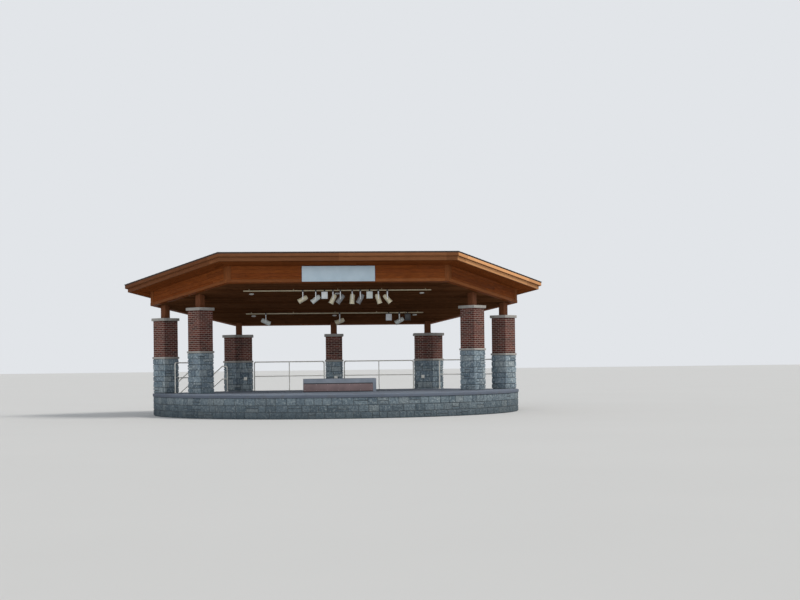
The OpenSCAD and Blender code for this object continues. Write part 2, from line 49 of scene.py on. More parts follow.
# The view. The bandstand stands on a plain pale floor and is seen from far in front of it,
# a little left of its middle. The camera is at eye height and held nearly level.
VIEW_PLACE = (-1.806, -50.725, 1.713)
VIEW_TURN = 4.637
VIEW_ROLL = 0.668
VIEW_LENS = 62.94
VIEW_FILM = 36
VIEW_RISE = 0.08
VIEW_FAR = 600

camera = bpy.data.objects.new("camera", bpy.data.cameras.new("camera"))
camera.data.lens = VIEW_LENS
camera.data.sensor_width = VIEW_FILM
camera.data.shift_y = VIEW_RISE
camera.data.clip_end = VIEW_FAR
camera.matrix_world = (
    Matrix.Translation(VIEW_PLACE)
    @ Matrix.Rotation(math.radians(-VIEW_TURN), 4, "Z")
    @ Matrix.Rotation(math.radians(90), 4, "X")
    @ Matrix.Rotation(math.radians(-VIEW_ROLL), 4, "Z"))
scene.collection.objects.link(camera)
scene.camera = camera


def tint(red, green, blue):
    """A colour as a paint chart gives it, 0 to 255, in the linear values that shaders use."""
    def linear(c):
        c /= 255
        return c / 12.92 if c <= 0.04045 else ((c + 0.055) / 1.055) ** 2.4
    return (linear(red), linear(green), linear(blue), 1.0)


class Nodes:
    """Adds nodes to a tree. Sockets are set or linked by name, or in order through a list."""

    def __init__(self, tree):
        self.tree = tree

    def put(self, socket, value):
        if isinstance(value, bpy.types.NodeSocket):
            self.tree.links.new(value, socket)
        else:
            socket.default_value = value

    def add(self, kind, settings=None, values=(), **named):
        node = self.tree.nodes.new(kind)
        for key, value in (settings or {}).items():
            setattr(node, key, value)
        for socket, value in zip(node.inputs, values):
            if value is not None:
                self.put(socket, value)
        for key, value in named.items():
            self.put(node.inputs[key.replace("_", " ")], value)
        return node

    def math(self, operation, *values):
        return self.add("ShaderNodeMath", {"operation": operation}, values).outputs[0]


class Finish(Nodes):
    """A surface finish, made as one material whose colour and relief come from nodes."""

    def __init__(self, name, roughness, gloss=0.5):
        self.material = bpy.data.materials.new(name)
        self.material.use_nodes = True
        super().__init__(self.material.node_tree)
        self.shader = self.tree.nodes["Principled BSDF"]
        self.shader.inputs["Roughness"].default_value = roughness
        self.shader.inputs["Specular IOR Level"].default_value = gloss
        self.place = self.add("ShaderNodeTexCoord").outputs["Object"]

    def turned(self, rotation=(0, 0, 0), scale=(1, 1, 1)):
        """Object coordinates turned and stretched, for a pattern that has a direction."""
        return self.add("ShaderNodeMapping", None, [self.place, None, rotation, scale]).outputs[0]

    def noise(self, size, place=None, detail=4.0, rough=0.55):
        """Soft random pattern from 0 to 1, with blots about size metres wide."""
        return self.add("ShaderNodeTexNoise", None, Vector=place or self.place, Scale=1 / size,
                        Detail=detail, Roughness=rough).outputs["Fac"]

    def cells(self, size, place=None):
        """Distance to the nearest grain of a random scatter, grains about size metres apart."""
        return self.add("ShaderNodeTexVoronoi", None, Vector=place or self.place,
                        Scale=1 / size).outputs["Distance"]

    def tone(self):
        """The shade that each brick, stone or board was given when it was laid."""
        return self.add("ShaderNodeAttribute", {"attribute_name": "tone"}).outputs["Fac"]

    def chart(self, factor, *colours, low=0.0, high=1.0):
        """Runs through the colours as factor goes from low to high."""
        ramp = self.add("ShaderNodeValToRGB", None, [factor])
        stops = ramp.color_ramp.elements
        while len(stops) < len(colours):
            stops.new(0.5)
        for i, colour in enumerate(colours):
            stops[i].position = low + (high - low) * i / (len(colours) - 1)
        for i, colour in enumerate(colours):
            stops[i].color = colour
        return ramp.outputs["Color"]

    def mix(self, factor, first, second, kind="MIX"):
        node = self.add("ShaderNodeMix", {"data_type": "RGBA", "blend_type": kind})
        for index, value in ((0, factor), (6, first), (7, second)):
            self.put(node.inputs[index], value)
        return node.outputs[2]

    def span(self, value, low, high):
        """Stretches what lies between low and high to 0 and 1, and cuts off the rest."""
        return self.add("ShaderNodeMapRange", None, [value, low, high]).outputs[0]

    def patch(self, below, above, pattern, low, high, share=1.0):
        """One colour laid over another where a pattern goes from low to high, up to a share."""
        cover = self.span(pattern, low, high)
        if share < 1.0:
            cover = self.math("MULTIPLY", cover, share)
        return self.mix(cover, below, above)

    def together(self, first, second, share):
        """Two patterns added up, of which the second counts for a share."""
        return self.math("ADD", self.math("MULTIPLY", first, 1 - share),
                         self.math("MULTIPLY", second, share))

    def colour(self, value):
        self.put(self.shader.inputs["Base Color"], value)

    def roughness(self, value, low, high):
        self.put(self.shader.inputs["Roughness"],
                 self.add("ShaderNodeMapRange", None, [value, 0.0, 1.0, low, high]).outputs[0])

    def relief(self, height, depth):
        """Bumps as deep as depth metres where height runs from 0 to 1."""
        self.put(self.shader.inputs["Normal"],
                 self.add("ShaderNodeBump", None, Height=height, Distance=depth, Strength=1.0).outputs[0])


def pale_floor():
    floor = Finish("floor_paper", 0.9)
    floor.colour(floor.patch(tint(206, 207, 207), tint(208, 209, 209), floor.noise(6.0), 0.3, 0.7))
    return floor.material


FLOOR_REACH = 400
FLOOR_GAP = 0.002
bpy.ops.mesh.primitive_plane_add(size=2 * FLOOR_REACH, location=(0, 0, -FLOOR_GAP))
ground = bpy.context.object
ground.name = "ground_paper"
ground.data.materials.append(pale_floor())

# Even light from all round, a soft lamp high on the right, and a broader, weaker one low
# in front that reaches in under the roof
world = bpy.data.worlds.new("studio")
world.use_nodes = True
scene.world = world
studio = Nodes(world.node_tree)
backdrop = studio.tree.nodes["Background"]
backdrop.inputs["Color"].default_value = tint(226, 229, 233)
rays = studio.add("ShaderNodeLightPath")
seen = studio.math("MAXIMUM", rays.outputs["Is Camera Ray"],
                   studio.math("MAXIMUM", rays.outputs["Is Glossy Ray"],
                               rays.outputs["Is Transmission Ray"]))
ROOM_LIGHT = 0.56
studio.put(backdrop.inputs["Strength"],
           studio.add("ShaderNodeMapRange", None, [seen, 0.0, 1.0, ROOM_LIGHT, 1.0]).outputs[0])


def soft_lamp(name, power, spread, colour, place):
    """A lamp far off in the direction of place, whose light spreads over some degrees."""
    lamp = bpy.data.objects.new(name, bpy.data.lights.new(name, "SUN"))
    lamp.data.energy = power
    lamp.data.angle = math.radians(spread)
    lamp.data.color = colour
    lamp.matrix_world = Vector(place).to_track_quat("Z", "Y").to_matrix().to_4x4()
    scene.collection.objects.link(lamp)


soft_lamp("high_lamp", power=1.95, spread=20, colour=(1.0, 0.95, 0.88), place=(0.80, -0.16, 0.84))
soft_lamp("low_lamp", power=1.15, spread=60, colour=(0.97, 0.99, 1.0), place=(-0.26, -0.94, 0.20))
scene.view_settings.view_transform = "Standard"


# The stage. A thick poured concrete slab lies on packed fill. Its top is brushed for grip,
# its edge stands a little past the walls below, and thin joints are sawn across it.
SLAB_EASE = 0.006
SMOOTH = math.radians(35)
# Faces that differ by less than this angle, and corners less than this far apart, are joined
FLAT = math.radians(0.5)
TOUCH = 1e-5


def merged(node):
    """Mesh of a frame node with its loose triangles joined into whole faces."""
    bm = bmesh.new()
    bm.from_mesh(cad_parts[node].data)
    bmesh.ops.remove_doubles(bm, verts=bm.verts, dist=TOUCH)
    bmesh.ops.dissolve_limit(bm, angle_limit=FLAT, verts=bm.verts, edges=bm.edges)
    return bm


def cast(name, bm, *materials):
    """A plain mesh of what was built, in its finishes."""
    mesh = bpy.data.meshes.new(name)
    bm.to_mesh(mesh)
    bm.free()
    for material in materials:
        mesh.materials.append(material)
    return mesh


def shown(name, mesh):
    piece = bpy.data.objects.new(name, mesh)
    scene.collection.objects.link(piece)
    return piece


def settled(piece):
    """Applies the piece's modifiers to its mesh."""
    bpy.context.view_layer.update()
    graph = bpy.context.evaluated_depsgraph_get()
    mesh = bpy.data.meshes.new_from_object(piece.evaluated_get(graph))
    piece.modifiers.clear()
    piece.data = mesh
    return piece


def placed(piece, slot, *nodes):
    """Puts a finished piece on the frame, in place of the nodes that it stands for."""
    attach(piece, "root")
    if nodes:
        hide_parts(*nodes)
    return piece


def smoothed(piece):
    """Shades the piece's curves smooth and leaves its corners sharp."""
    piece.data.polygons.foreach_set("use_smooth", [True] * len(piece.data.polygons))
    piece.data.set_sharp_from_angle(angle=SMOOTH)
    return piece


def eased(piece, width, segments=2):
    """Rounds the piece's edges a little and shades its curves smooth."""
    bevel = piece.modifiers.new("eased", "BEVEL")
    bevel.width = width
    bevel.segments = segments
    bevel.limit_method = "ANGLE"
    bevel.angle_limit = SMOOTH
    bevel.use_clamp_overlap = True
    return smoothed(settled(piece))


def dressed(node, slot, width, *materials):
    """A node made again as a piece with eased edges, in its real finish."""
    piece = shown(node + "_piece", cast(node + "_piece", merged(node), *materials))
    if width:
        eased(piece, width)
    return placed(piece, slot, node)


def recoloured(node, material):
    """A better material on a node whose own shape stays."""
    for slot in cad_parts[node].material_slots:
        slot.material = material


def concrete(name, light, dark, lit_top=None):
    """Poured concrete with clouds and stains. A last colour, if given, paints its top paler in patches as
    painted light.
    """
    finish = Finish(name, 0.85, 0.3)
    clouds = finish.noise(1.6, detail=6)
    stains = finish.noise(0.35, detail=8, rough=0.7)
    sand = finish.noise(0.006, detail=2)
    base = finish.patch(light, dark, clouds, 0.3, 0.7)
    # Painted light: upward faces are made paler in patches, standing for the sheen on the top
    if lit_top:
        lean = finish.add("ShaderNodeNewGeometry").outputs["Normal"]
        level = finish.span(finish.add("ShaderNodeSeparateXYZ", None, [lean]).outputs[2], 0.6, 0.9)
        lit_top_share = finish.math("MULTIPLY", level, finish.span(clouds, 0.9, 0.2))
        base = finish.mix(lit_top_share, base, lit_top)
    base = finish.patch(base, tint(96, 96, 96), stains, 0.52, 0.80)
    finish.colour(finish.patch(base, dark, sand, 0.35, 0.75, 0.25))
    brushed = finish.noise(0.012, finish.turned(scale=(0.06, 1, 1)), detail=3)
    finish.relief(finish.together(brushed, sand, 0.3), 0.004)
    finish.roughness(stains, 0.75, 0.95)
    return finish.material


SAW_STEP = 2.4
SAW_WIDE = 0.006
SAW_DEEP = 0.022
SAW_FIRST = -6.0
# Cuts are long enough to pass the slab's edges, and centred on it
SAW_LONG = 30.0
SAW_MIDDLE = (0.0, -1.5)


def add_box(bm, middle, size):
    """Adds a plain box to what is built."""
    lie = Matrix.Translation(middle) @ Matrix.Diagonal((*size, 1))
    bmesh.ops.create_cube(bm, size=1, matrix=lie)


def sawn_joints(piece, top):
    """Cuts thin straight joints into the slab's top, across and along."""
    cutter = bmesh.new()
    low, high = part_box("stage_slab")
    for axis in (0, 1):
        place = SAW_FIRST
        while place < high[axis]:
            middle = [*SAW_MIDDLE, top]
            middle[axis] = place
            size = [SAW_LONG, SAW_LONG, 2 * SAW_DEEP]
            size[axis] = SAW_WIDE
            add_box(cutter, middle, size)
            place += SAW_STEP
    saw = shown("saw", cast("saw", cutter))
    cut = piece.modifiers.new("sawn", "BOOLEAN")
    cut.operation = "DIFFERENCE"
    cut.solver = "EXACT"
    cut.use_self = True
    cut.object = saw
    settled(piece)
    bpy.data.objects.remove(saw)


slab_finish = concrete("brushed_concrete", tint(103, 112, 126), tint(87, 95, 108),
                       lit_top=tint(126, 137, 152))
slab = dressed("stage_slab", "concrete", SLAB_EASE, slab_finish)
sawn_joints(slab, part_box("stage_slab")[1].z)
slab.data.materials.clear()
slab.data.materials.append(slab_finish)
recoloured("stage_fill", concrete("packed_fill", tint(140, 132, 118), tint(120, 112, 100)))


# The stone walls round the stage. Split grey limestone blocks of many sizes are laid in
# mortar against the fill. Their faces are left rough and their joints are raked back.
STONE_BAND = (0.17, 0.23)
STONE_LONG = (0.20, 0.46)
STONE_JOINT = 0.016
STONE_DEEP = 0.07
STONE_GRID = 0.036
STONE_CHIP = 0.085
STONE_RELIEF = 0.017
# A grid line keeps this share of a step away from a corner
GRID_CLEAR = 0.35
MORTAR_BACK = 0.027
ARRIS_BACK = 0.016
CORNER_CLEAR = 0.075
SPLIT_SHARE = 0.14
SPLIT_AT = (0.42, 0.5, 0.58)
STONE_START = (0.1, 0.3)
STONE_UNEVEN = 0.004
# Upright joints keep clear of corners that bend by more than this angle, in radians, also of
# those up to this far past the ends of a course
STONE_BEND = 0.3
STONE_PAST = 1.0
MORTAR_DEEP = 0.2
# Height from which the stone grows darker towards the ground, as painted shade
PAINTED_SHADE_TOP = 1.1
# Cosine above which a face is square to a direction
SQUARE = 0.99


def outlines(node):
    """Plan of each upright solid in a node: its corners, anticlockwise, and its heights."""
    bm = merged(node)
    found = []
    for face in [f for f in bm.faces if f.normal.z < -SQUARE]:
        corners = [loop.vert.co.xy for loop in face.loops][::-1]
        foot = face.calc_center_median().z
        top = max((v.co.z for f in bm.faces if f.normal.z > SQUARE for v in f.verts
                   if (v.co.xy - corners[0]).length < 1e-4), default=foot)
        found.append((corners, foot, top))
    bm.free()
    return found


class Course:
    """A line on plan that masonry follows, with its corners at known distances along it."""

    def __init__(self, corners, closed):
        self.corners, self.closed = corners, closed
        count = len(corners) if closed else len(corners) - 1
        ends = [(corners[i], corners[(i + 1) % len(corners)]) for i in range(count)]
        self.along = [(b - a).normalized() for a, b in ends]
        self.at = [0.0]
        for a, b in ends:
            self.at.append(self.at[-1] + (b - a).length)
        self.length = self.at[-1]

    def side(self, s):
        """Number of the straight side that holds distance s."""
        s = s % self.length if self.closed else min(max(s, 0.0), self.length)
        for i in range(len(self.along)):
            if s < self.at[i + 1] - 1e-9:
                return i
        return len(self.along) - 1

    def point(self, s, out):
        """Place at distance s, moved out from the face, mitred at a corner."""
        s = s % self.length if self.closed else s
        i = self.side(s)
        d = self.along[i]
        start = self.corners[i] + d * (s - self.at[i])
        normal = Vector((d.y, -d.x))
        if abs(s - self.at[i]) < 1e-6 and (self.closed or i > 0):
            p = self.along[i - 1]
            before = Vector((p.y, -p.x))
            normal = (normal + before) / (1 + normal.dot(before))
        return start + normal * out

    def turns(self, s0, s1, sharp):
        """Corners strictly between two distances, as distances. Only those that bend enough."""
        found = []
        for lap in ((-1, 0, 1) if self.closed else (0,)):
            for i, at in enumerate(self.at[:-1]):
                s = at + lap * self.length
                if not self.closed and i == 0:
                    continue
                bend = self.along[i - 1].angle(self.along[i])
                if s0 + 1e-6 < s < s1 - 1e-6 and bend > sharp:
                    found.append(s)
        return sorted(found)


def block(bm, relief, course, s0, s1, z0, z1, deep, grid, arris, face_out):
    """One closed block on a course, from s0 to s1 and z0 to z1. Its face is a grid whose
    border is drawn back by arris, and relief gets 1 inside the face and 0 elsewhere."""
    def steps(low, high, extra):
        """Grid lines from low to high, with those at the corners among them."""
        inner = [low + arris, high - arris]
        count = max(1, round((inner[1] - inner[0]) / grid))
        cuts = [inner[0] + (inner[1] - inner[0]) * i / count for i in range(count + 1)]
        cuts = [c for c in cuts if all(abs(c - e) > GRID_CLEAR * grid for e in extra)]
        return sorted([low, high] + cuts + extra)

    columns = steps(s0, s1, course.turns(s0, s1, 0.0))
    rows = steps(z0, z1, [])
    last_column, last_row = len(columns) - 1, len(rows) - 1
    front, back = {}, {}
    for i, s in enumerate(columns):
        for j, z in enumerate(rows):
            edge = i in (0, last_column) or j in (0, last_row)
            out = face_out - (arris if edge else 0.0)
            front[i, j] = bm.verts.new((*course.point(s, out), z))
            front[i, j][relief] = 0.0 if edge else 1.0
    for i in (0, last_column):
        for j in range(last_row + 1):
            back[i, j] = bm.verts.new((*course.point(columns[i], -deep), rows[j]))
    for i in range(1, last_column):
        for j in (0, last_row):
            back[i, j] = bm.verts.new((*course.point(columns[i], -deep), rows[j]))
    for i in range(last_column):
        for j in range(last_row):
            bm.faces.new((front[i, j], front[i + 1, j], front[i + 1, j + 1], front[i, j + 1]))
        bm.faces.new((back[i, 0], back[i + 1, 0], front[i + 1, 0], front[i, 0]))
        bm.faces.new((front[i, last_row], front[i + 1, last_row],
                      back[i + 1, last_row], back[i, last_row]))
    for j in range(last_row):
        bm.faces.new((back[0, j], front[0, j], front[0, j + 1], back[0, j + 1]))
        bm.faces.new((front[last_column, j], back[last_column, j],
                      back[last_column, j + 1], front[last_column, j + 1]))
    if last_column == 1:
        rear = [(0, j) for j in range(last_row + 1)] + [(1, j) for j in range(last_row, -1, -1)]
        bm.faces.new([back[key] for key in rear])
        return
    left = [back[0, j] for j in range(last_row + 1)]
    bm.faces.new([back[1, 0]] + left + [back[1, last_row]])
    for i in range(1, last_column - 1):
        bm.faces.new((back[i + 1, 0], back[i, 0], back[i, last_row], back[i + 1, last_row]))
    i = last_column - 1
    right = [back[i + 1, j] for j in range(last_row + 1)]
    bm.faces.new([back[i, 0], back[i, last_row]] + right[::-1])


def random_ashlar(course, z0, z1, chance):
    """Yields s0, s1, z0, z1 of the stones that fill a face, bands of tall and split stones."""
    height = z1 - z0
    bands = max(1, round(height / (sum(STONE_BAND) / 2)))
    cuts = [0.0]
    for _ in range(bands):
        cuts.append(cuts[-1] + chance.uniform(*STONE_BAND))
    cuts = [z0 + c * height / cuts[-1] for c in cuts]
    corners = course.turns(-STONE_PAST, course.length + STONE_PAST, STONE_BEND)

    def clear(s):
        """Moves an upright joint away from a corner that it would come too near."""
        for corner in corners:
            if abs(s - corner) < CORNER_CLEAR:
                return corner + math.copysign(CORNER_CLEAR, s - corner)
        return s

    for low, high in zip(cuts, cuts[1:]):
        first = clear(chance.uniform(*STONE_START)) if course.closed else 0.0
        stop = first + course.length if course.closed else course.length
        s = first
        while s < stop - 1e-6:
            end = clear(s + chance.uniform(*STONE_LONG))
            if stop - end < STONE_LONG[0]:
                end = stop
            if chance.random() > SPLIT_SHARE:
                yield s, end, low, high
            else:
                split = low + (high - low) * chance.choice(SPLIT_AT)
                yield s, end, low, split
                yield s, end, split, high
            s = end


class Layout(Nodes):
    """A geometry tree with named inputs, run once on a piece to lay it out."""
    KINDS = {"float": "NodeSocketFloat", "int": "NodeSocketInt", "vector": "NodeSocketVector",
             "turn": "NodeSocketRotation", "material": "NodeSocketMaterial"}

    def __init__(self, name, **inputs):
        super().__init__(bpy.data.node_groups.new(name, "GeometryNodeTree"))
        face = self.tree.interface
        face.new_socket("Geometry", in_out="INPUT", socket_type="NodeSocketGeometry")
        face.new_socket("Geometry", in_out="OUTPUT", socket_type="NodeSocketGeometry")
        self.keys = {}
        for key, kind in inputs.items():
            socket = face.new_socket(key.capitalize(), in_out="INPUT", socket_type=self.KINDS[kind])
            self.keys[key] = socket.identifier
        self.given = self.tree.nodes.new("NodeGroupInput")

    def inputs(self):
        """The sockets that give the inputs, in their order."""
        return self.given.outputs[1:1 + len(self.keys)]

    def finished(self, geometry, chance, material):
        """Gives each separate block a shade of its own and its material, and ends the tree."""
        island = self.add("GeometryNodeInputMeshIsland").outputs["Island Index"]
        shade = self.add("FunctionNodeRandomValue", {"data_type": "FLOAT"}, ID=island, Seed=chance)
        toned = self.add("GeometryNodeStoreNamedAttribute", {"data_type": "FLOAT", "domain": "FACE"},
                         Geometry=geometry, Name="tone", Value=shade.outputs[1])
        real = self.add("GeometryNodeRealizeInstances", None, [toned.outputs[0]])
        painted = self.add("GeometryNodeSetMaterial", None, Geometry=real.outputs[0], Material=material)
        end = self.tree.nodes.new("NodeGroupOutput")
        self.put(end.inputs[0], painted.outputs[0])

    def run(self, piece, **values):
        """Lays the piece out with these inputs and keeps only the plain mesh."""
        step = piece.modifiers.new(self.tree.name, "NODES")
        step.node_group = self.tree
        for key, value in values.items():
            step[self.keys[key]] = value
        return settled(piece)


def split_face_layout():
    """Breaks up the faces of stone blocks, inwards only: flat chips that lean every way."""
    layout = Layout("split_face", depth="float", chip="float", seed="int", material="material")
    depth, chip, seed, material = layout.inputs()
    relief = layout.add("GeometryNodeInputNamedAttribute", {"data_type": "FLOAT"}, Name="relief")
    normal = layout.add("GeometryNodeInputNormal").outputs[0]
    place = layout.add("GeometryNodeInputPosition").outputs[0]
    chips = layout.add("ShaderNodeTexVoronoi", None, Vector=place, Scale=layout.math("DIVIDE", 1.0, chip))
    arm = layout.add("ShaderNodeVectorMath", {"operation": "SUBTRACT"}, [place, chips.outputs["Position"]])
    lean = layout.add("ShaderNodeVectorMath", {"operation": "SUBTRACT"},
                      [chips.outputs["Color"], (0.5, 0.5, 0.5)])
    tilt = layout.add("ShaderNodeVectorMath", {"operation": "DOT_PRODUCT"},
                      [arm.outputs[0], lean.outputs[0]]).outputs["Value"]
    waves = layout.add("ShaderNodeTexNoise", None, Scale=7.0, Detail=4.0).outputs["Fac"]
    share = layout.math("MULTIPLY_ADD", layout.math("DIVIDE", tilt, chip), 2.4,
                        layout.math("MULTIPLY_ADD", waves, 1.6, -0.4))
    share = layout.add("ShaderNodeClamp", None, [share]).outputs[0]
    share = layout.math("MULTIPLY", share, relief.outputs[0])
    amount = layout.math("MULTIPLY", share, layout.math("MULTIPLY", depth, -1.0))
    offset = layout.add("ShaderNodeVectorMath", {"operation": "SCALE"}, Vector=normal, Scale=amount)
    broken = layout.add("GeometryNodeSetPosition", None, Geometry=layout.given.outputs[0],
                        Offset=offset.outputs[0])
    layout.finished(broken.outputs[0], seed, material)
    return layout


def split_stone():
    """Blue grey stone, each block of its own tone, with pale breaks and a painted shade at its foot."""
    finish = Finish("split_limestone", 0.9, 0.2)
    colour = finish.chart(finish.tone(), tint(102, 120, 132), tint(138, 154, 164), tint(116, 133, 145),
                          tint(152, 163, 168), tint(92, 109, 122), tint(130, 146, 158))
    # Partly painted light: the pale breaks lie on the high parts of the relief and the dark patches in its
    # hollows, as painted highlight and shade
    breaks_and_painted_light = finish.noise(0.07, detail=9, rough=0.72)
    colour = finish.patch(colour, tint(198, 207, 208), breaks_and_painted_light, 0.52, 0.66, 0.85)
    colour = finish.patch(colour, tint(66, 78, 88), breaks_and_painted_light, 0.47, 0.33, 0.75)
    colour = finish.patch(colour, tint(180, 186, 186), finish.noise(0.004, detail=3), 0.4, 0.8, 0.2)
    # Painted shade: the stone grows darker from 1.1 m down to the ground
    rise = finish.add("ShaderNodeSeparateXYZ", None, [finish.place]).outputs[2]
    finish.colour(finish.patch(colour, tint(62, 72, 78), rise, PAINTED_SHADE_TOP, 0.0, 0.85))
    finish.relief(finish.together(breaks_and_painted_light, finish.cells(0.05), 0.3), 0.03)
    return finish.material


def scaled(colour, *shares):
    """A colour whose three parts are each made brighter or darker."""
    return tuple(min(1, part * share) for part, share in zip(colour, shares)) + (1.0,)


def mortar(name, colour):
    finish = Finish(name, 0.95)
    sand = finish.noise(0.003, detail=2)
    patches = finish.noise(0.3, detail=5)
    lighter = scaled(colour, 1.35, 1.35, 1.35)
    finish.colour(finish.patch(colour, lighter, finish.math("MULTIPLY", sand, patches), 0.1, 0.4))
    finish.relief(sand, 0.002)
    return finish.material


def backing(name, slot, material, runs, back):
    """Mortar body behind the blocks. Each run is a course, its heights and its depth."""
    bm = bmesh.new()
    for course, z0, z1, deep in runs:
        cuts = list(course.at[:-1]) if course.closed else list(course.at)
        if course.closed:
            base = [bm.verts.new((*course.point(s, -back), z0)) for s in cuts]
        else:
            line = [course.point(s, -back) for s in cuts]
            line += [course.point(s, -deep) for s in reversed(cuts)]
            base = [bm.verts.new((*p, z0)) for p in line]
        top = [bm.verts.new((*v.co.xy, z1)) for v in base]
        for i in range(len(base)):
            j = (i + 1) % len(base)
            bm.faces.new((base[i], base[j], top[j], top[i]))
        bm.faces.new(base[::-1])
        bm.faces.new(top)
    return placed(shown(name, cast(name, bm, material)), slot)


split_face = split_face_layout()
stone_finish = split_stone()
stone_mortar = mortar("grey_mortar", tint(74, 80, 84))


def stone_faced(node, runs, seed):
    """Blocks of split stone over the faces of a node, with the mortar body behind them."""
    chance = random.Random(seed)
    bm = bmesh.new()
    relief = bm.verts.layers.float.new("relief")
    for course, z0, z1, _ in runs:
        for s0, s1, low, high in random_ashlar(course, z0, z1, chance):
            half = STONE_JOINT / 2
            block(bm, relief, course, s0 + half, s1 - half, low + half, high - half,
                  STONE_DEEP, STONE_GRID, ARRIS_BACK, -chance.uniform(0, STONE_UNEVEN))
    piece = shown(node + "_piece", cast(node + "_piece", bm))
    split_face.run(piece, depth=STONE_RELIEF, chip=STONE_CHIP, seed=seed, material=stone_finish)
    backing(node + "_mortar", "stone", stone_mortar, runs, MORTAR_BACK)
    return placed(piece, "stone", node)


# A wall's side looks out if it faces away from the stage's middle by this much of its
# distance from there, and by this many metres at least
LOOKS_OUT = 0.5
OUT_LEAST = 1.0


def outer_run(corners):
    """The part of a wall's outline that faces away from the middle of the stage."""
    count = len(corners)
    faces_out = []
    for i in range(count):
        a, b = corners[i], corners[(i + 1) % count]
        normal = Vector(((b - a).y, (a - b).x)).normalized()
        middle = (a + b) / 2
        faces_out.append(middle.dot(normal) > max(LOOKS_OUT * middle.length, OUT_LEAST))
    first = next(i for i in range(count) if faces_out[i] and not faces_out[i - 1])
    line = [corners[first]]
    i = first
    while faces_out[i % count]:
        line.append(corners[(i + 1) % count])
        i += 1
    return line


WALL_SEED = 11
for number, node in enumerate(("apron_wall", "left_wall", "back_wall", "right_wall")):
    wall_runs = [(Course(outer_run(corners), False), foot, top, MORTAR_DEEP)
                 for corners, foot, top in outlines(node)]
    stone_faced(node, wall_runs, WALL_SEED + number)


# The stair. Four solid concrete steps lead up to the back left corner of the stage,
# each cast as a block with a slightly rounded nosing.
NOSING = 0.012
step_finish = concrete("cast_steps", tint(134, 138, 146), tint(114, 118, 128))
for number in range(1, 5):
    dressed(f"stair_step_{number}", "concrete", NOSING, step_finish)


# The pier bases. The same split stone is built up as square and bent piers, with stones
# that turn the corners.
BASE_SEED = 31


def pier_runs(node):
    """The closed courses round each pier of a node."""
    return [(Course(corners, True), foot, top, MORTAR_DEEP) for corners, foot, top in outlines(node)]


for number, node in enumerate(("front_pier_bases", "side_pier_bases",
                               "corner_pier_bases", "centre_pier_base")):
    stone_faced(node, pier_runs(node), BASE_SEED + number)


# The ledges and caps. Sawn pale limestone slabs cover each base and each brick pier and
# throw the rain clear. Their edges are eased by hand.
SAWN_EASE = 0.009


def sawn_limestone():
    finish = Finish("sawn_limestone", 0.8)
    clouds = finish.noise(0.5, detail=7, rough=0.6)
    streaks = finish.noise(0.06, finish.turned(scale=(1, 1, 0.12)), detail=6)
    colour = finish.chart(clouds, tint(138, 135, 130), tint(160, 157, 152), tint(174, 171, 166),
                          low=0.25, high=0.75)
    finish.colour(finish.patch(colour, tint(108, 108, 106), streaks, 0.5, 0.75, 0.5))
    finish.relief(finish.noise(0.008, detail=6), 0.002)
    return finish.material


limestone_finish = sawn_limestone()
for node in ("pier_ledges", "pier_caps"):
    dressed(node, "limestone", SAWN_EASE, limestone_finish)


# The brick piers. Dark red modular bricks are laid in running bond, three courses to
# 203 mm. Every second course has its long bricks on the other faces, and bricks at the
# blunt corners of the bent piers are made to that angle.
COURSE = 0.0677
BRICK_LONG = 0.1967
BRICK_SHORT = 0.092
BRICK_JOINT = 0.010
BRICK_ARRIS = 0.002
BRICK_GRID = 0.25
BRICK_MORTAR_BACK = 0.003
BRICK_SEED = 51


def brick_cuts(course, turned):
    """Where the upright joints of one course fall along its line."""
    cuts = []
    for i in range(len(course.along)):
        start, end = course.at[i], course.at[i + 1]
        tip = BRICK_LONG if (i + turned) % 2 else BRICK_SHORT
        middle = end - start - 2 * tip - BRICK_JOINT
        count = max(1, round(middle / (BRICK_LONG + BRICK_JOINT)))
        if middle < BRICK_SHORT:
            cuts.append((start + end) / 2)
            continue
        cuts += [start + tip + BRICK_JOINT / 2 + middle * n / count for n in range(count + 1)]
    return cuts


def brick_stack_layout():
    """Repeats the two lowest courses upwards and leaves off what rises past the top."""
    layout = Layout("brick_courses", rise="float", pairs="int", top="float", seed="int",
                    material="material")
    rise, pairs, top, seed, material = layout.inputs()
    line = layout.add("GeometryNodeMeshLine", None, Count=pairs,
                      Offset=layout.add("ShaderNodeCombineXYZ", None, Z=rise).outputs[0])
    stack = layout.add("GeometryNodeInstanceOnPoints", None, Points=line.outputs[0],
                       Instance=layout.given.outputs[0])
    real = layout.add("GeometryNodeRealizeInstances", None, [stack.outputs[0]])
    place = layout.add("GeometryNodeInputPosition").outputs[0]
    height = layout.add("ShaderNodeSeparateXYZ", None, [place]).outputs[2]
    past = layout.add("FunctionNodeCompare", {"data_type": "FLOAT", "operation": "GREATER_THAN"},
                      [height, top])
    kept = layout.add("GeometryNodeDeleteGeometry", {"domain": "POINT"},
                      Geometry=real.outputs[0], Selection=past.outputs[0])
    layout.finished(kept.outputs[0], seed, material)
    return layout


def fired_brick():
    finish = Finish("fired_brick", 0.88, 0.25)
    colour = finish.chart(finish.tone(), tint(64, 31, 29), tint(92, 46, 39), tint(76, 36, 33),
                          tint(107, 57, 48), tint(50, 25, 25), tint(84, 42, 37))
    grain = finish.noise(0.02, detail=8, rough=0.7)
    colour = finish.patch(colour, tint(126, 72, 59), grain, 0.5, 0.85)
    finish.colour(finish.patch(colour, tint(50, 27, 26), grain, 0.45, 0.15))
    finish.relief(finish.noise(0.004, detail=5), 0.0025)
    return finish.material


brick_courses = brick_stack_layout()
brick_finish = fired_brick()
brick_mortar = mortar("pale_mortar", tint(162, 149, 138))


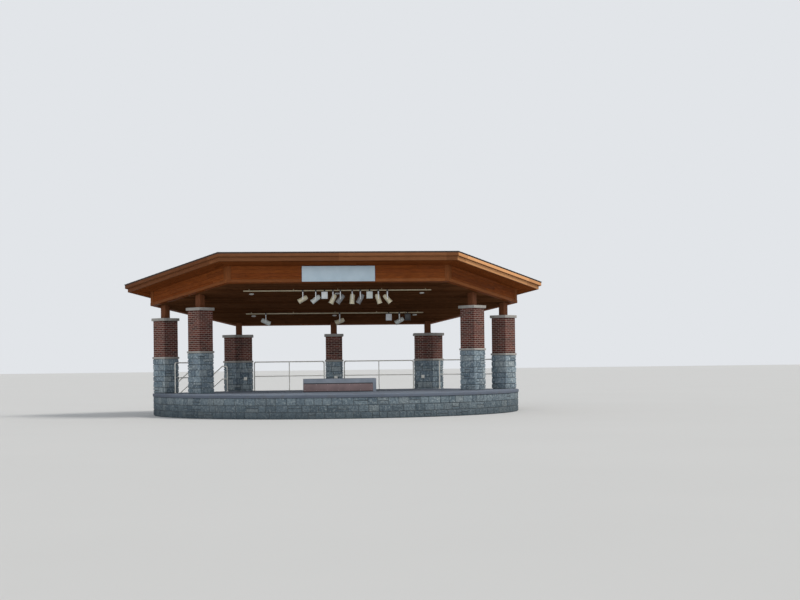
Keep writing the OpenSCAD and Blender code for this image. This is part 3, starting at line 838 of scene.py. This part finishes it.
def brickwork(node, seed):
    """Bricks round each pier of a node, with the mortar body behind them."""
    runs = pier_runs(node)
    foot, top = runs[0][1], runs[0][2]
    count = round((top - foot) / COURSE)
    rise = (top - foot) / count
    bm = bmesh.new()
    relief = bm.verts.layers.float.new("relief")
    for course, _, _, _ in runs:
        for turned in (0, 1):
            low = foot + turned * rise + BRICK_JOINT / 2
            cuts = brick_cuts(course, turned)
            for s0, s1 in zip(cuts, cuts[1:] + [cuts[0] + course.length]):
                block(bm, relief, course, s0 + BRICK_JOINT / 2, s1 - BRICK_JOINT / 2,
                      low, low + rise - BRICK_JOINT, BRICK_SHORT, BRICK_GRID, BRICK_ARRIS, 0.0)
    piece = shown(node + "_piece", cast(node + "_piece", bm))
    brick_courses.run(piece, rise=2 * rise, pairs=(count + 1) // 2, top=top, seed=seed,
                      material=brick_finish)
    backing(node + "_mortar", "brick", brick_mortar, runs, BRICK_MORTAR_BACK)
    return placed(piece, "brick", node)


for number, node in enumerate(("front_pier_brick", "side_pier_brick",
                               "corner_pier_brick", "centre_pier_brick")):
    brickwork(node, BRICK_SEED + number)


# The timber. Posts boxed in cedar boards stand on the caps. Every board has an orange
# brown stain that lets the grain show.
POST_EASE = 0.004


def stained(name, axes, light, dark, gloss=0.25, board=0.0):
    """Stained cedar whose grain follows the first of three axes. Where the boards aren't
    apart in the mesh, board is their length, and each stretch gets a shade of its own."""
    finish = Finish(name, 0.6, gloss)
    lie = finish.turned(rotation=Matrix(axes).to_euler())
    stretched = finish.add("ShaderNodeMapping", None, [lie, None, None, (0.08, 1, 1)]).outputs[0]
    grain = finish.noise(0.022, stretched, detail=8, rough=0.65)
    cloud = finish.noise(0.5, lie, detail=4)
    tone = finish.tone()
    if board:
        along = finish.add("ShaderNodeSeparateXYZ", None, [lie]).outputs[0]
        stretch = finish.math("FLOOR", finish.math("DIVIDE", along, board))
        tone = finish.add("ShaderNodeTexWhiteNoise", {"noise_dimensions": "1D"},
                          W=stretch).outputs["Value"]
    colour = finish.chart(grain, dark, light, low=0.32, high=0.68)
    shade = finish.chart(tone, tint(212, 203, 196), tint(255, 255, 255), tint(234, 224, 215))
    colour = finish.mix(1.0, colour, shade, "MULTIPLY")
    finish.colour(finish.patch(colour, dark, cloud, 0.5, 0.8, 0.35))
    finish.relief(grain, 0.0015)
    finish.roughness(cloud, 0.5, 0.75)
    return finish.material


UPRIGHT = ((0, 0, 1), (1, 0, 0), (0, 1, 0))
post_finish = stained("post_cedar", UPRIGHT, tint(142, 91, 60), tint(102, 62, 38), 0.15)
dressed("roof_posts", "stained_timber", POST_EASE, post_finish)


# The frieze. Boxed beams carry the roof on all six sides. They are faced with level rows
# of cedar boards, which run along the slope of the ceiling on the slanting sides.
CEILING_PITCH = math.radians(13)
ROOF_PITCH = math.radians(14)
BOARD_GAP = 0.004
FRIEZE_BOARD = 0.128
# Boards start thicker than what they clad, and are cut back to its solid
FRIEZE_THICK = 1.2
BOARD_LONG = 3.66
BOARD_EASE = 0.003


def board_layout():
    """Rows of boards, butted end to end with a random start in each row, cut to a solid."""
    layout = Layout("board_rows", long="float", wide="float", thick="float", gap="float",
                    rows="int", columns="int", tilt="float", place="vector", turn="turn",
                    seed="int", material="material")
    long, wide, thick, gap, rows, columns, tilt, place, turn, seed, material = layout.inputs()
    count = layout.math("MULTIPLY", rows, columns)
    line = layout.add("GeometryNodeMeshLine", None, Count=count, Offset=(0, 0, 0))
    index = layout.add("GeometryNodeInputIndex").outputs[0]
    row = layout.math("FLOOR", layout.math("DIVIDE", index, columns))
    column = layout.math("SUBTRACT", index, layout.math("MULTIPLY", row, columns))
    start = layout.add("FunctionNodeRandomValue", {"data_type": "FLOAT"}, ID=row, Seed=seed)
    pitch_x = layout.math("ADD", long, gap)
    pitch_y = layout.math("ADD", wide, gap)
    x = layout.math("MULTIPLY", layout.math("ADD", column, start.outputs[1]), pitch_x)
    middle = layout.math("MULTIPLY", layout.math("DIVIDE", columns, 2.0), pitch_x)
    x = layout.math("SUBTRACT", x, middle)
    y = layout.math("MULTIPLY", layout.math("ADD", row, 0.5), pitch_y)
    spot = layout.add("ShaderNodeCombineXYZ", None, [x, y]).outputs[0]
    points = layout.add("GeometryNodeSetPosition", None, Geometry=line.outputs[0], Position=spot)
    size = layout.add("ShaderNodeCombineXYZ", None, [long, wide, thick]).outputs[0]
    plank = layout.add("GeometryNodeMeshCube", None, Size=size)
    lean = layout.add("ShaderNodeCombineXYZ", None, [tilt]).outputs[0]
    laid = layout.add("GeometryNodeInstanceOnPoints", None, Points=points.outputs[0],
                      Instance=plank.outputs[0], Rotation=lean)
    field = layout.add("GeometryNodeTransform", None, Geometry=laid.outputs[0],
                       Translation=place, Rotation=turn)
    real = layout.add("GeometryNodeRealizeInstances", None, [field.outputs[0]])
    cut = layout.add("GeometryNodeMeshBoolean", {"operation": "INTERSECT", "solver": "MANIFOLD"})
    layout.put(cut.inputs["Mesh 2"], real.outputs[0])
    layout.put(cut.inputs["Mesh 2"], layout.given.outputs[0])
    layout.finished(cut.outputs[0], seed, material)
    return layout


board_rows = board_layout()


def boarded(name, source, place, axes, material, wide, thick, rows, columns, seed,
            long=BOARD_LONG, gap=BOARD_GAP, tilt=0.0, ease=BOARD_EASE):
    """A solid made again from rows of boards. axes are the directions of a board's length,
    of the rows and of its face, and place is the middle of the first row's edge."""
    piece = shown(name, source)
    turn = Matrix(axes).transposed().to_euler()
    board_rows.run(piece, long=long, wide=wide, thick=thick, gap=gap, rows=rows, columns=columns,
                   tilt=tilt, place=tuple(place), turn=turn, seed=seed, material=material)
    if ease:
        eased(piece, ease, 1)
    return piece


def solid_of(node):
    """Mesh of a frame node to cut boards to."""
    bm = merged(node)
    bmesh.ops.triangulate(bm, faces=bm.faces)
    return cast(node + "_solid", bm)


FRIEZE_LIGHT = tint(142, 76, 29)
FRIEZE_DARK = tint(102, 50, 15)
FRIEZE_ROWS = 9
FRIEZE_COLUMNS = 5
FRIEZE_START = 0.2
FRIEZE_SEED = 71
# Heading of each side of the roof in degrees, anticlockwise from the front
ROOF_SIDES = {"front": 0, "front_right": 45, "back_right": 135,
              "back": 180, "back_left": 225, "front_left": 315}


def side_axes(side, pitch):
    """Directions of a board on one side of the roof: along it, up its face and outward."""
    heading = math.radians(ROOF_SIDES[side])
    flat = Vector((math.cos(heading), math.sin(heading), 0))
    slope = math.atan(-math.tan(pitch) * flat.y)
    along = flat * math.cos(slope) + Vector((0, 0, math.sin(slope)))
    outward = Vector((flat.y, -flat.x, 0))
    return along, outward.cross(along), outward


SIDES_OUT = [side_axes(side, 0.0)[2] for side in ROOF_SIDES]
for number, side in enumerate(ROOF_SIDES):
    node = "frieze_" + side
    axes = side_axes(side, CEILING_PITCH)
    low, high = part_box(node)
    middle = (low + high) / 2
    lower_edge = Vector((middle.x, middle.y, low.z + math.tan(CEILING_PITCH) * (high.y - middle.y)))
    piece = boarded(node + "_piece", solid_of(node), lower_edge - axes[1] * FRIEZE_START, axes,
                    stained(node + "_cedar", axes, FRIEZE_LIGHT, FRIEZE_DARK, 0.1),
                    FRIEZE_BOARD, FRIEZE_THICK, FRIEZE_ROWS, FRIEZE_COLUMNS, FRIEZE_SEED + number)
    placed(piece, "stained_timber", node)


TRIM_LIGHT = tint(150, 90, 48)
TRIM_DARK = tint(116, 67, 33)
STRAW = tint(236, 176, 122)
RING_GLOSS = 0.12
# Grain is upright on faces that are taller than wide, and at least as tall as this
UPRIGHT_LEAST = 0.2


def reaches(mesh):
    """How far a mesh reaches out on each side of the roof."""
    return [max(vert.co.dot(out) for vert in mesh.vertices) for out in SIDES_OUT]


def paled_towards_straw(colour, share):
    """A stain made paler by a share of the way to pale straw, which paints sunlight on a side."""
    return tuple(c + (straw - c) * share for c, straw in zip(colour, STRAW))


def sided(node, slot, width, pitch, name, light, dark, paling):
    """A mitred ring of boards, whose grain follows each side of the roof, or is upright.
    The last argument gives the share by which a side is paled towards straw, as painted sunlight."""
    piece = dressed(node, slot, width)
    reach = reaches(piece.data)
    for side in ROOF_SIDES:
        share = paling.get(side, 0.0)
        piece.data.materials.append(
            stained(f"{name}_{side}", side_axes(side, pitch), paled_towards_straw(light, share),
                    paled_towards_straw(dark, share), RING_GLOSS, BOARD_LONG))
    piece.data.materials.append(
        stained(name + "_upright", UPRIGHT, light, dark, RING_GLOSS, BOARD_LONG))
    for face in piece.data.polygons:
        corners = [piece.data.vertices[i].co for i in face.vertices]
        tall = max(c.z for c in corners) - min(c.z for c in corners)
        wide = max((c.xy - corners[0].xy).length for c in corners)
        nearest = max(range(len(reach)), key=lambda i: face.center.dot(SIDES_OUT[i]) - reach[i])
        face.material_index = len(reach) if tall > max(wide, UPRIGHT_LEAST) else nearest
    return piece


sided("frieze_trim", "trim_timber", BOARD_EASE, CEILING_PITCH, "trim_cedar",
      TRIM_LIGHT, TRIM_DARK, {})


# The ceiling. Boards run from side to side under the beams, stained a little darker than
# the frieze, as painted shade for the shade under the roof.
CEILING_BOARD = 0.135
CEILING_THICK = 0.6
CEILING_ROWS = 44
CEILING_COLUMNS = 6
CEILING_START = 0.05
CEILING_SEED = 91
CEILING_LIGHT = tint(112, 73, 47)
CEILING_DARK = tint(76, 48, 30)


def fall_axes(pitch):
    """Directions of a board that lies across a slope: along it, down the slope and up off it."""
    return (Vector((1, 0, 0)), Vector((0, math.cos(pitch), -math.sin(pitch))),
            Vector((0, math.sin(pitch), math.cos(pitch))))


ceiling_axes = fall_axes(CEILING_PITCH)
low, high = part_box("ceiling")
ceiling_piece = boarded("ceiling_piece", solid_of("ceiling"),
                        Vector((0, low.y - CEILING_START, high.z)), ceiling_axes,
                        stained("ceiling_cedar", ceiling_axes, CEILING_LIGHT, CEILING_DARK, 0.0),
                        CEILING_BOARD, CEILING_THICK, CEILING_ROWS, CEILING_COLUMNS, CEILING_SEED)
placed(ceiling_piece, "stained_timber", "ceiling")


# The eaves. Soffit boards run along each side and meet on the mitres. Two stepped fascia
# boards edge the roof all the way round, paler on the front right, where sunlight is painted on them.
SOFFIT_BOARD = 0.14
SOFFIT_THICK = 0.6
SOFFIT_ROWS = 14
SOFFIT_COLUMNS = 5
SOFFIT_SEED = 95
SOFFIT_LIGHT = tint(140, 78, 40)
SOFFIT_DARK = tint(100, 53, 25)
FASCIA_EASE = 0.004
FASCIA_LIGHT = tint(134, 85, 52)
FASCIA_DARK = tint(104, 62, 35)
# The front fascias are paled a little towards straw as well
FRONT_PALING = 0.06
# Painted sunlight: the share by which the sunny side of each fascia is paled towards straw
PAINTED_SUNLIGHT = {"fascia_lower": 0.65, "fascia_upper": 0.9}
roof_axes = fall_axes(ROOF_PITCH)


def islands(bm):
    """The separate solids of a mesh, each as a list of faces, always in the same order."""
    met = set()
    for first in bm.faces:
        if first in met:
            continue
        met.add(first)
        group, front = [], [first]
        while front:
            face = front.pop()
            group.append(face)
            for other in (other for edge in face.edges for other in edge.link_faces):
                if other not in met:
                    met.add(other)
                    front.append(other)
        yield group


def foremost(bm, out):
    """The separate solid of a mesh that reaches furthest out."""
    def reach(group):
        return max(face.calc_center_median().dot(out) for face in group)
    return max(islands(bm), key=reach)


def cut_back(bm, place, normal):
    """Cuts off what lies behind a plane, and leaves the cut open."""
    bmesh.ops.bisect_plane(bm, geom=bm.verts[:] + bm.edges[:] + bm.faces[:],
                           plane_co=place, plane_no=normal, clear_inner=True)


def mitred(node):
    """The solid of each side of a mitred ring, cut apart on its two mitres."""
    whole = solid_of(node)
    reach = reaches(whole)
    for i, side in enumerate(ROOF_SIDES):
        bm = bmesh.new()
        bm.from_mesh(whole)
        for j in (i - 1, (i + 1) % len(reach)):
            apart = SIDES_OUT[i] - SIDES_OUT[j]
            cut_back(bm, apart * ((reach[i] - reach[j]) / apart.length_squared), apart)
            bmesh.ops.holes_fill(bm, edges=[edge for edge in bm.edges if edge.is_boundary])
            bmesh.ops.remove_doubles(bm, verts=bm.verts, dist=TOUCH)
        far = set(bm.faces) - set(foremost(bm, SIDES_OUT[i]))
        bmesh.ops.delete(bm, geom=list(far), context="FACES")
        bmesh.ops.triangulate(bm, faces=bm.faces)
        yield side, cast(f"{node}_{side}", bm), SIDES_OUT[i], reach[i]


for number, (side, mesh, out, reach) in enumerate(mitred("soffit")):
    along = side_axes(side, ROOF_PITCH)[0]
    axes = (along, roof_axes[2].cross(along), roof_axes[2])
    high = max(mesh.vertices, key=lambda vert: vert.co.dot(out)).co
    edge = out * reach + Vector((0, 0, high.z + math.tan(ROOF_PITCH) * (high.y - out.y * reach)))
    name = "soffit_" + side + "_piece"
    piece = boarded(name, mesh, edge, axes,
                    stained(name + "_cedar", axes, SOFFIT_LIGHT, SOFFIT_DARK, 0.0),
                    SOFFIT_BOARD, SOFFIT_THICK, SOFFIT_ROWS, SOFFIT_COLUMNS, SOFFIT_SEED + number)
    placed(piece, "stained_timber", "soffit")
for node, sunlight in PAINTED_SUNLIGHT.items():
    sided(node, "stained_timber", FASCIA_EASE, ROOF_PITCH, node + "_cedar",
          FASCIA_LIGHT, FASCIA_DARK, {"front": FRONT_PALING, "front_right": sunlight})
recoloured("roof_deck", stained("deck_boards", roof_axes, tint(170, 130, 92), tint(140, 100, 66)))


# The drip edge. A strip of dark brown painted metal is folded down over the top of the
# upper fascia on every side, and throws the rain clear of the boards. Its dark brown is
# partly painted shade, for the shade under the edge of the shingles.
DRIP_HIGH = 0.028
DRIP_THICK = 0.003


def bronze_paint():
    finish = Finish("bronze_paint", 0.5, 0.3)
    wear = finish.noise(0.3, detail=6)
    drops = finish.noise(0.02, finish.turned(scale=(1, 1, 0.2)), detail=3)
    # Partly painted shade: the strip is dark brown for the shade line under the shingles
    colour = finish.chart(wear, tint(48, 35, 30), tint(62, 46, 39), low=0.3, high=0.7)
    finish.colour(finish.patch(colour, tint(86, 72, 64), drops, 0.6, 0.75, 0.3))
    finish.roughness(wear, 0.4, 0.65)
    finish.relief(drops, 0.0005)
    return finish.material


def folded_strip(node, name, high, thick):
    """A strip on the outer faces of a ring of boards, from their top edge down."""
    bm = merged(node)
    top = max(vert.co.dot(roof_axes[2]) for vert in bm.verts)
    cut_back(bm, roof_axes[2] * (top - high), roof_axes[2])

    def outer(face):
        return any(face.normal.dot(out) > SQUARE and face.calc_center_median().dot(out) > 0
                   for out in SIDES_OUT)

    hidden = [face for face in bm.faces if not outer(face)]
    bmesh.ops.delete(bm, geom=hidden, context="FACES")
    strip = shown(name, cast(name, bm, bronze_paint()))
    fold = strip.modifiers.new("thick", "SOLIDIFY")
    fold.thickness = thick
    fold.offset = 1.0
    fold.use_even_offset = True
    return settled(strip)


placed(folded_strip("fascia_upper", "drip_edge", DRIP_HIGH, DRIP_THICK), "shingles")


# The roof covering. Mineral-faced shingles lie in rows over a dark underlay, each row
# lapping the one below, cut off clean at the edge of the roof.
TAB_LONG = 0.32
TAB_SHOWS = 0.142
TAB_THICK = 0.007
TAB_LAP = math.radians(-2.2)
TAB_GAP = 0.002
TAB_ROWS = 54
TAB_COLUMNS = 50
TAB_SEED = 101
# Where the rows start, ahead of the front edge and below the top
TAB_AHEAD = 0.02
TAB_DROP = 0.008
UNDERLAY_DROP = 0.012
UNDERLAY_EASE = 0.003
# Upward part of a normal above which a face is the roof's top
FACES_UP = 0.5


def shingle_finish(first):
    """Brown grey mineral chips, darker in the shade under each lap. The rows start at first."""
    finish = Finish("mineral_shingles", 0.95)
    colour = finish.chart(finish.tone(), tint(66, 58, 53), tint(83, 74, 67), tint(75, 67, 61),
                          tint(93, 83, 75), tint(61, 55, 50))
    grit = finish.noise(0.003, detail=2)
    colour = finish.patch(colour, tint(128, 118, 108), grit, 0.4, 0.7, 0.5)
    lie = finish.turned(rotation=Matrix(roof_axes).to_euler())
    down = finish.add("ShaderNodeSeparateXYZ", None, [lie]).outputs[1]
    down = finish.math("SUBTRACT", down, first.dot(roof_axes[1]))
    row = finish.math("DIVIDE", down, TAB_SHOWS + TAB_GAP)
    # Painted shadow: a dark band across each row, where the row above laps over it
    finish.colour(finish.patch(colour, tint(30, 27, 25), finish.math("FRACT", row), 0.84, 0.92, 0.8))
    finish.relief(grit, 0.002)
    return finish.material


def felt():
    finish = Finish("underlay_felt", 0.9)
    finish.colour(finish.chart(finish.noise(0.2), tint(46, 40, 37), tint(62, 55, 51),
                               low=0.3, high=0.7))
    finish.relief(finish.noise(0.005), 0.001)
    return finish.material


def underlay(node, drop):
    """The roof covering's own solid, with its top let down to make room for the shingles."""
    bm = merged(node)
    for vert in bm.verts:
        if any(face.normal.z > FACES_UP for face in vert.link_faces):
            vert.co.z -= drop
    return shown("roof_underlay", cast("roof_underlay", bm, felt()))


low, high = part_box("roof_covering")
roof_top = Vector((0, low.y - TAB_AHEAD, high.z - TAB_DROP))
shingles = boarded("roof_shingles", solid_of("roof_covering"), roof_top, roof_axes,
                   shingle_finish(roof_top), TAB_SHOWS, TAB_THICK, TAB_ROWS, TAB_COLUMNS, TAB_SEED,
                   long=TAB_LONG, gap=TAB_GAP, tilt=TAB_LAP, ease=0.0)
placed(shingles, "shingles")
placed(eased(underlay("roof_covering", UNDERLAY_DROP), UNDERLAY_EASE), "shingles", "roof_covering")


# The guards and handrails. Round steel tubes with elbow fittings are painted pale grey
# and stand on foot plates that are bolted down.
BOLT_SIDES = 6
BOLT_RING = 0.034
BOLT_WIDE = 0.016
BOLT_HIGH = 0.007
PLATE_THICK = 0.008
PLATE_AREA = 0.003
FASTENER_SEED = 5


def rail_paint():
    finish = Finish("rail_paint", 0.4)
    wear = finish.noise(0.25, detail=6)
    drift = finish.noise(0.03, detail=3)
    colour = finish.chart(wear, tint(224, 222, 214), tint(240, 238, 230), low=0.3, high=0.7)
    finish.colour(finish.patch(colour, tint(150, 144, 130), drift, 0.62, 0.75, 0.4))
    finish.roughness(wear, 0.3, 0.55)
    finish.relief(drift, 0.0006)
    return finish.material


def fastener_layout():
    """The head of a bolt or screw on each point of the piece, its axis turned as asked."""
    layout = Layout("fasteners", sides="int", wide="float", high="float", turn="turn", seed="int",
                    material="material")
    sides, wide, high, turn, seed, material = layout.inputs()
    head = layout.add("GeometryNodeMeshCylinder", None, Vertices=sides, Depth=high,
                      Radius=layout.math("DIVIDE", wide, 2.0))
    spread = layout.add("GeometryNodeInstanceOnPoints", None, Points=layout.given.outputs[0],
                        Instance=head.outputs[0], Rotation=turn)
    real = layout.add("GeometryNodeRealizeInstances", None, [spread.outputs[0]])
    layout.finished(real.outputs[0], seed, material)
    return layout


fastener_heads = fastener_layout()


def fastened(name, slot, spots, material, sides, wide, high, turn=(0.0, 0.0, 0.0)):
    """A piece made of the heads that show at these spots."""
    points = bpy.data.meshes.new(name)
    points.from_pydata(spots, [], [])
    heads = fastener_heads.run(shown(name, points), sides=sides, wide=wide, high=high, turn=turn,
                               seed=FASTENER_SEED, material=material)
    return placed(heads, slot)


def feet(node):
    """Middle of each foot plate that a node stands on."""
    bm = merged(node)
    found = [f.calc_center_median() for f in bm.faces
             if f.normal.z < -SQUARE and f.calc_area() > PLATE_AREA]
    bm.free()
    return found


rail_finish = rail_paint()
rails = ("guard_left", "guard_back_left", "guard_back_right", "guard_right",
         "stair_rail_left", "stair_rail_right")
for node in rails:
    smoothed(dressed(node, "rail_paint", 0.0, rail_finish))
bolt_arms = [Vector((x, y, PLATE_THICK + BOLT_HIGH / 2)) for x, y in
             ((BOLT_RING, 0), (0, BOLT_RING), (-BOLT_RING, 0), (0, -BOLT_RING))]
bolt_spots = [foot + arm for node in rails for foot in feet(node) for arm in bolt_arms]
fastened("rail_bolts", "rail_paint", bolt_spots, rail_finish, BOLT_SIDES, BOLT_WIDE, BOLT_HIGH)


# The stage lights. Two steel bars hang under the ceiling on short rods. Enamelled cans
# and box lamps are clamped to them, with a clear lens in each can's open end.
CLAMP_HIGH = 0.072
CAN_RADIUS = 0.09
BORE_RADIUS = 0.077
LAMP_EASE = 0.0015
SLACK = 0.001
# A face with more corners than this is the round end of a can
DISC_CORNERS = 40
# Enamel of each lamp, from left to right, along the front bar and the back bar
FRONT_LAMPS = ("cream", "white", "white", "cream", "grey", "cream", "grey", "white", "cream", "cream")
BACK_LAMPS = ("white", "cream", "grey", "white", "black")


def enamel(name, light, roughness=0.35):
    finish = Finish(name, roughness)
    dust = finish.noise(0.12, detail=6)
    finish.colour(finish.patch(light, scaled(light, 0.72, 0.72, 0.72), dust, 0.45, 0.8))
    finish.roughness(dust, roughness - 0.07, roughness + 0.15)
    finish.relief(finish.noise(0.01), 0.0005)
    return finish.material


LAMP_PAINTS = {"cream": enamel("cream_enamel", tint(204, 196, 170)),
               "white": enamel("white_enamel", tint(202, 208, 205)),
               "grey": enamel("grey_enamel", tint(128, 130, 132)),
               "black": enamel("black_enamel", tint(34, 34, 36)),
               "strap": enamel("zinc_strap", tint(222, 226, 230)),
               "clamp": enamel("dark_steel", tint(46, 46, 48)),
               "lining": enamel("black_lining", tint(20, 20, 21), 0.8),
               "lens": enamel("clear_lens", tint(70, 74, 78), 0.15)}


def lamp_part(face, top, disc):
    """What a face of a lamp belongs to, from its height and its distance from the can's axis."""
    if min(v.co.z for v in face.verts) > top - CLAMP_HIGH - SLACK:
        return "clamp"
    if disc is None:
        lowest = min(v.co.z for f in face.verts[0].link_faces for v in f.verts)
        sunk = face.normal.z < -SQUARE and face.calc_center_median().z > lowest + SLACK
        return "lens" if sunk else "body"
    centre, axis = disc.calc_center_median(), disc.normal
    arms = [v.co - centre for v in face.verts]
    along = [arm.dot(axis) for arm in arms]
    out = max((arm - axis * h).length for arm, h in zip(arms, along))
    if out > CAN_RADIUS + SLACK:
        return "strap"
    if face == disc:
        return "lens"
    return "lining" if out < BORE_RADIUS + SLACK and min(along) > -SLACK else "body"


def painted_lamps():
    """All the lamps as one piece, each face in the paint of what it belongs to."""
    bm = merged("stage_lights")
    paints = list(LAMP_PAINTS)
    lamps = sorted(islands(bm), key=lambda lamp: min(v.co.x for face in lamp for v in face.verts))
    for row, colours in ((-1, FRONT_LAMPS), (1, BACK_LAMPS)):
        line = [lamp for lamp in lamps if lamp[0].calc_center_median().y * row > 0]
        for lamp, colour in zip(line, colours):
            top = max(v.co.z for face in lamp for v in face.verts)
            round_faces = [f for f in lamp if len(f.verts) > DISC_CORNERS]
            disc = max(round_faces, key=lambda f: f.calc_area(), default=None)
            for face in lamp:
                part = lamp_part(face, top, disc)
                face.material_index = paints.index(colour if part == "body" else part)
    mesh = cast("stage_lights_piece", bm, *LAMP_PAINTS.values())
    piece = eased(shown("stage_lights_piece", mesh), LAMP_EASE)
    return placed(piece, "lamp_paint", "stage_lights")


bar_finish = enamel("bar_paint", tint(188, 176, 148))
dressed("light_bars", "bar_steel", 0.0, bar_finish)
painted_lamps()


# The downlights and outlets. White moulded rings hold a frosted lens in the ceiling, and
# weatherproof outlet boxes are screwed to the inner faces of the back piers.
LID_RIM = 0.010
LID_GROOVE = 0.003
LID_EASE = 0.001
# Cosine to the front above which a face of a box can hold the lid
LID_FACING = 0.6
SCREW_SIDES = 16
SCREW_WIDE = 0.012
SCREW_HIGH = 0.004
FACING_OUT = (math.radians(90), 0.0, 0.0)


def moulded(name, colour):
    finish = Finish(name, 0.4)
    age = finish.noise(0.08, detail=5)
    finish.colour(finish.patch(colour, scaled(colour, 0.93, 0.90, 0.82), age, 0.4, 0.8))
    finish.relief(finish.noise(0.004), 0.0004)
    return finish.material


def screws(name, slot, spots, material):
    """Round screw heads at these spots on upright faces."""
    return fastened(name, slot, spots, material, SCREW_SIDES, SCREW_WIDE, SCREW_HIGH, FACING_OUT)


def lidded_boxes(material):
    """Outlet boxes with a groove round the lid in front, and a screw in the lid's middle."""
    bm = merged("outlet_boxes")
    spots = []
    for group in list(islands(bm)):
        facing = [face for face in group if face.normal.y < -LID_FACING]
        front = max(facing, key=lambda face: face.calc_area())
        for inset, depth in ((LID_RIM, 0.0), (LID_GROOVE, -LID_GROOVE), (LID_GROOVE, LID_GROOVE)):
            bmesh.ops.inset_region(bm, faces=[front], thickness=inset, depth=depth)
        spots.append(front.calc_center_median() + front.normal * SCREW_HIGH / 2)
    piece = shown("outlet_boxes_piece", cast("outlet_boxes_piece", bm, material))
    placed(eased(piece, LID_EASE), "white_plastic", "outlet_boxes")
    screws("outlet_screws", "white_plastic", spots, material)


white_moulding = moulded("white_moulding", tint(226, 226, 222))
dressed("downlights", "white_plastic", 0.0, white_moulding)
lidded_boxes(white_moulding)


# The sign panel and the platform. A bare pale panel fills the middle of the front frieze.
# A low painted platform stands on the stage, with a board across its front that stops short
# of the floor and of the platform's top. A dark sheet behind it is painted shadow in the gaps.
SIGN_EASE = 0.004
SIGN_SCREWS = 6
SIGN_INSET = 0.035
PLATFORM_EASE = 0.006
PLATFORM_SCREWS = 7
PLATFORM_INSET = 0.06
FRONT_EASE = 0.003
REVEAL_TOP = 0.032
REVEAL_FOOT = 0.026
GAP_SHADOW_THICK = 0.004


def board_paint(name, light, dark):
    finish = Finish(name, 0.6)
    wear = finish.noise(0.4, detail=7)
    fine = finish.noise(0.01, finish.turned(scale=(0.2, 1, 1)), detail=5)
    finish.colour(finish.patch(light, dark, wear, 0.35, 0.75))
    finish.relief(fine, 0.001)
    finish.roughness(wear, 0.5, 0.7)
    return finish.material


def screw_rows(node, columns, inset):
    """Spots of screws along the upper and lower edge of a board's front."""
    low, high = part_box(node)
    step = (high.x - low.x - 2 * inset) / (columns - 1)
    across = [low.x + inset + step * i for i in range(columns)]
    return [(x, low.y - SCREW_HIGH / 2, z) for x in across for z in (low.z + inset, high.z - inset)]


def plain_board(name, low, high, material):
    """A board between two corners."""
    bm = bmesh.new()
    add_box(bm, (low + high) / 2, high - low)
    return shown(name, cast(name, bm, material))


dressed("sign_panel", "sign_face", SIGN_EASE,
        board_paint("sign_paint", tint(184, 202, 214), tint(170, 190, 203)))
dressed("platform", "platform_paint", PLATFORM_EASE,
        board_paint("platform_paint", tint(142, 150, 162), tint(120, 128, 140)))
low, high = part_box("platform_front")
# Painted shadow: a dark sheet behind the front board fills the gaps above and below it
dark_gap_sheet = plain_board("platform_gap_shadow", Vector((low.x, high.y - GAP_SHADOW_THICK, low.z)), high,
                            board_paint("black_backing", tint(44, 41, 44), tint(34, 31, 34)))
placed(dark_gap_sheet, "platform_board")
front_board = plain_board("platform_front_piece", low + Vector((0, 0, REVEAL_FOOT)),
                          high - Vector((0, 0, REVEAL_TOP)),
                          board_paint("platform_board", tint(136, 114, 114), tint(110, 91, 92)))
placed(eased(front_board, FRONT_EASE), "platform_board", "platform_front")
screws("sign_screws", "sign_face", screw_rows("sign_panel", SIGN_SCREWS, SIGN_INSET),
       LAMP_PAINTS["strap"])
screws("platform_screws", "platform_board",
       screw_rows("platform_front", PLATFORM_SCREWS, PLATFORM_INSET), LAMP_PAINTS["strap"])
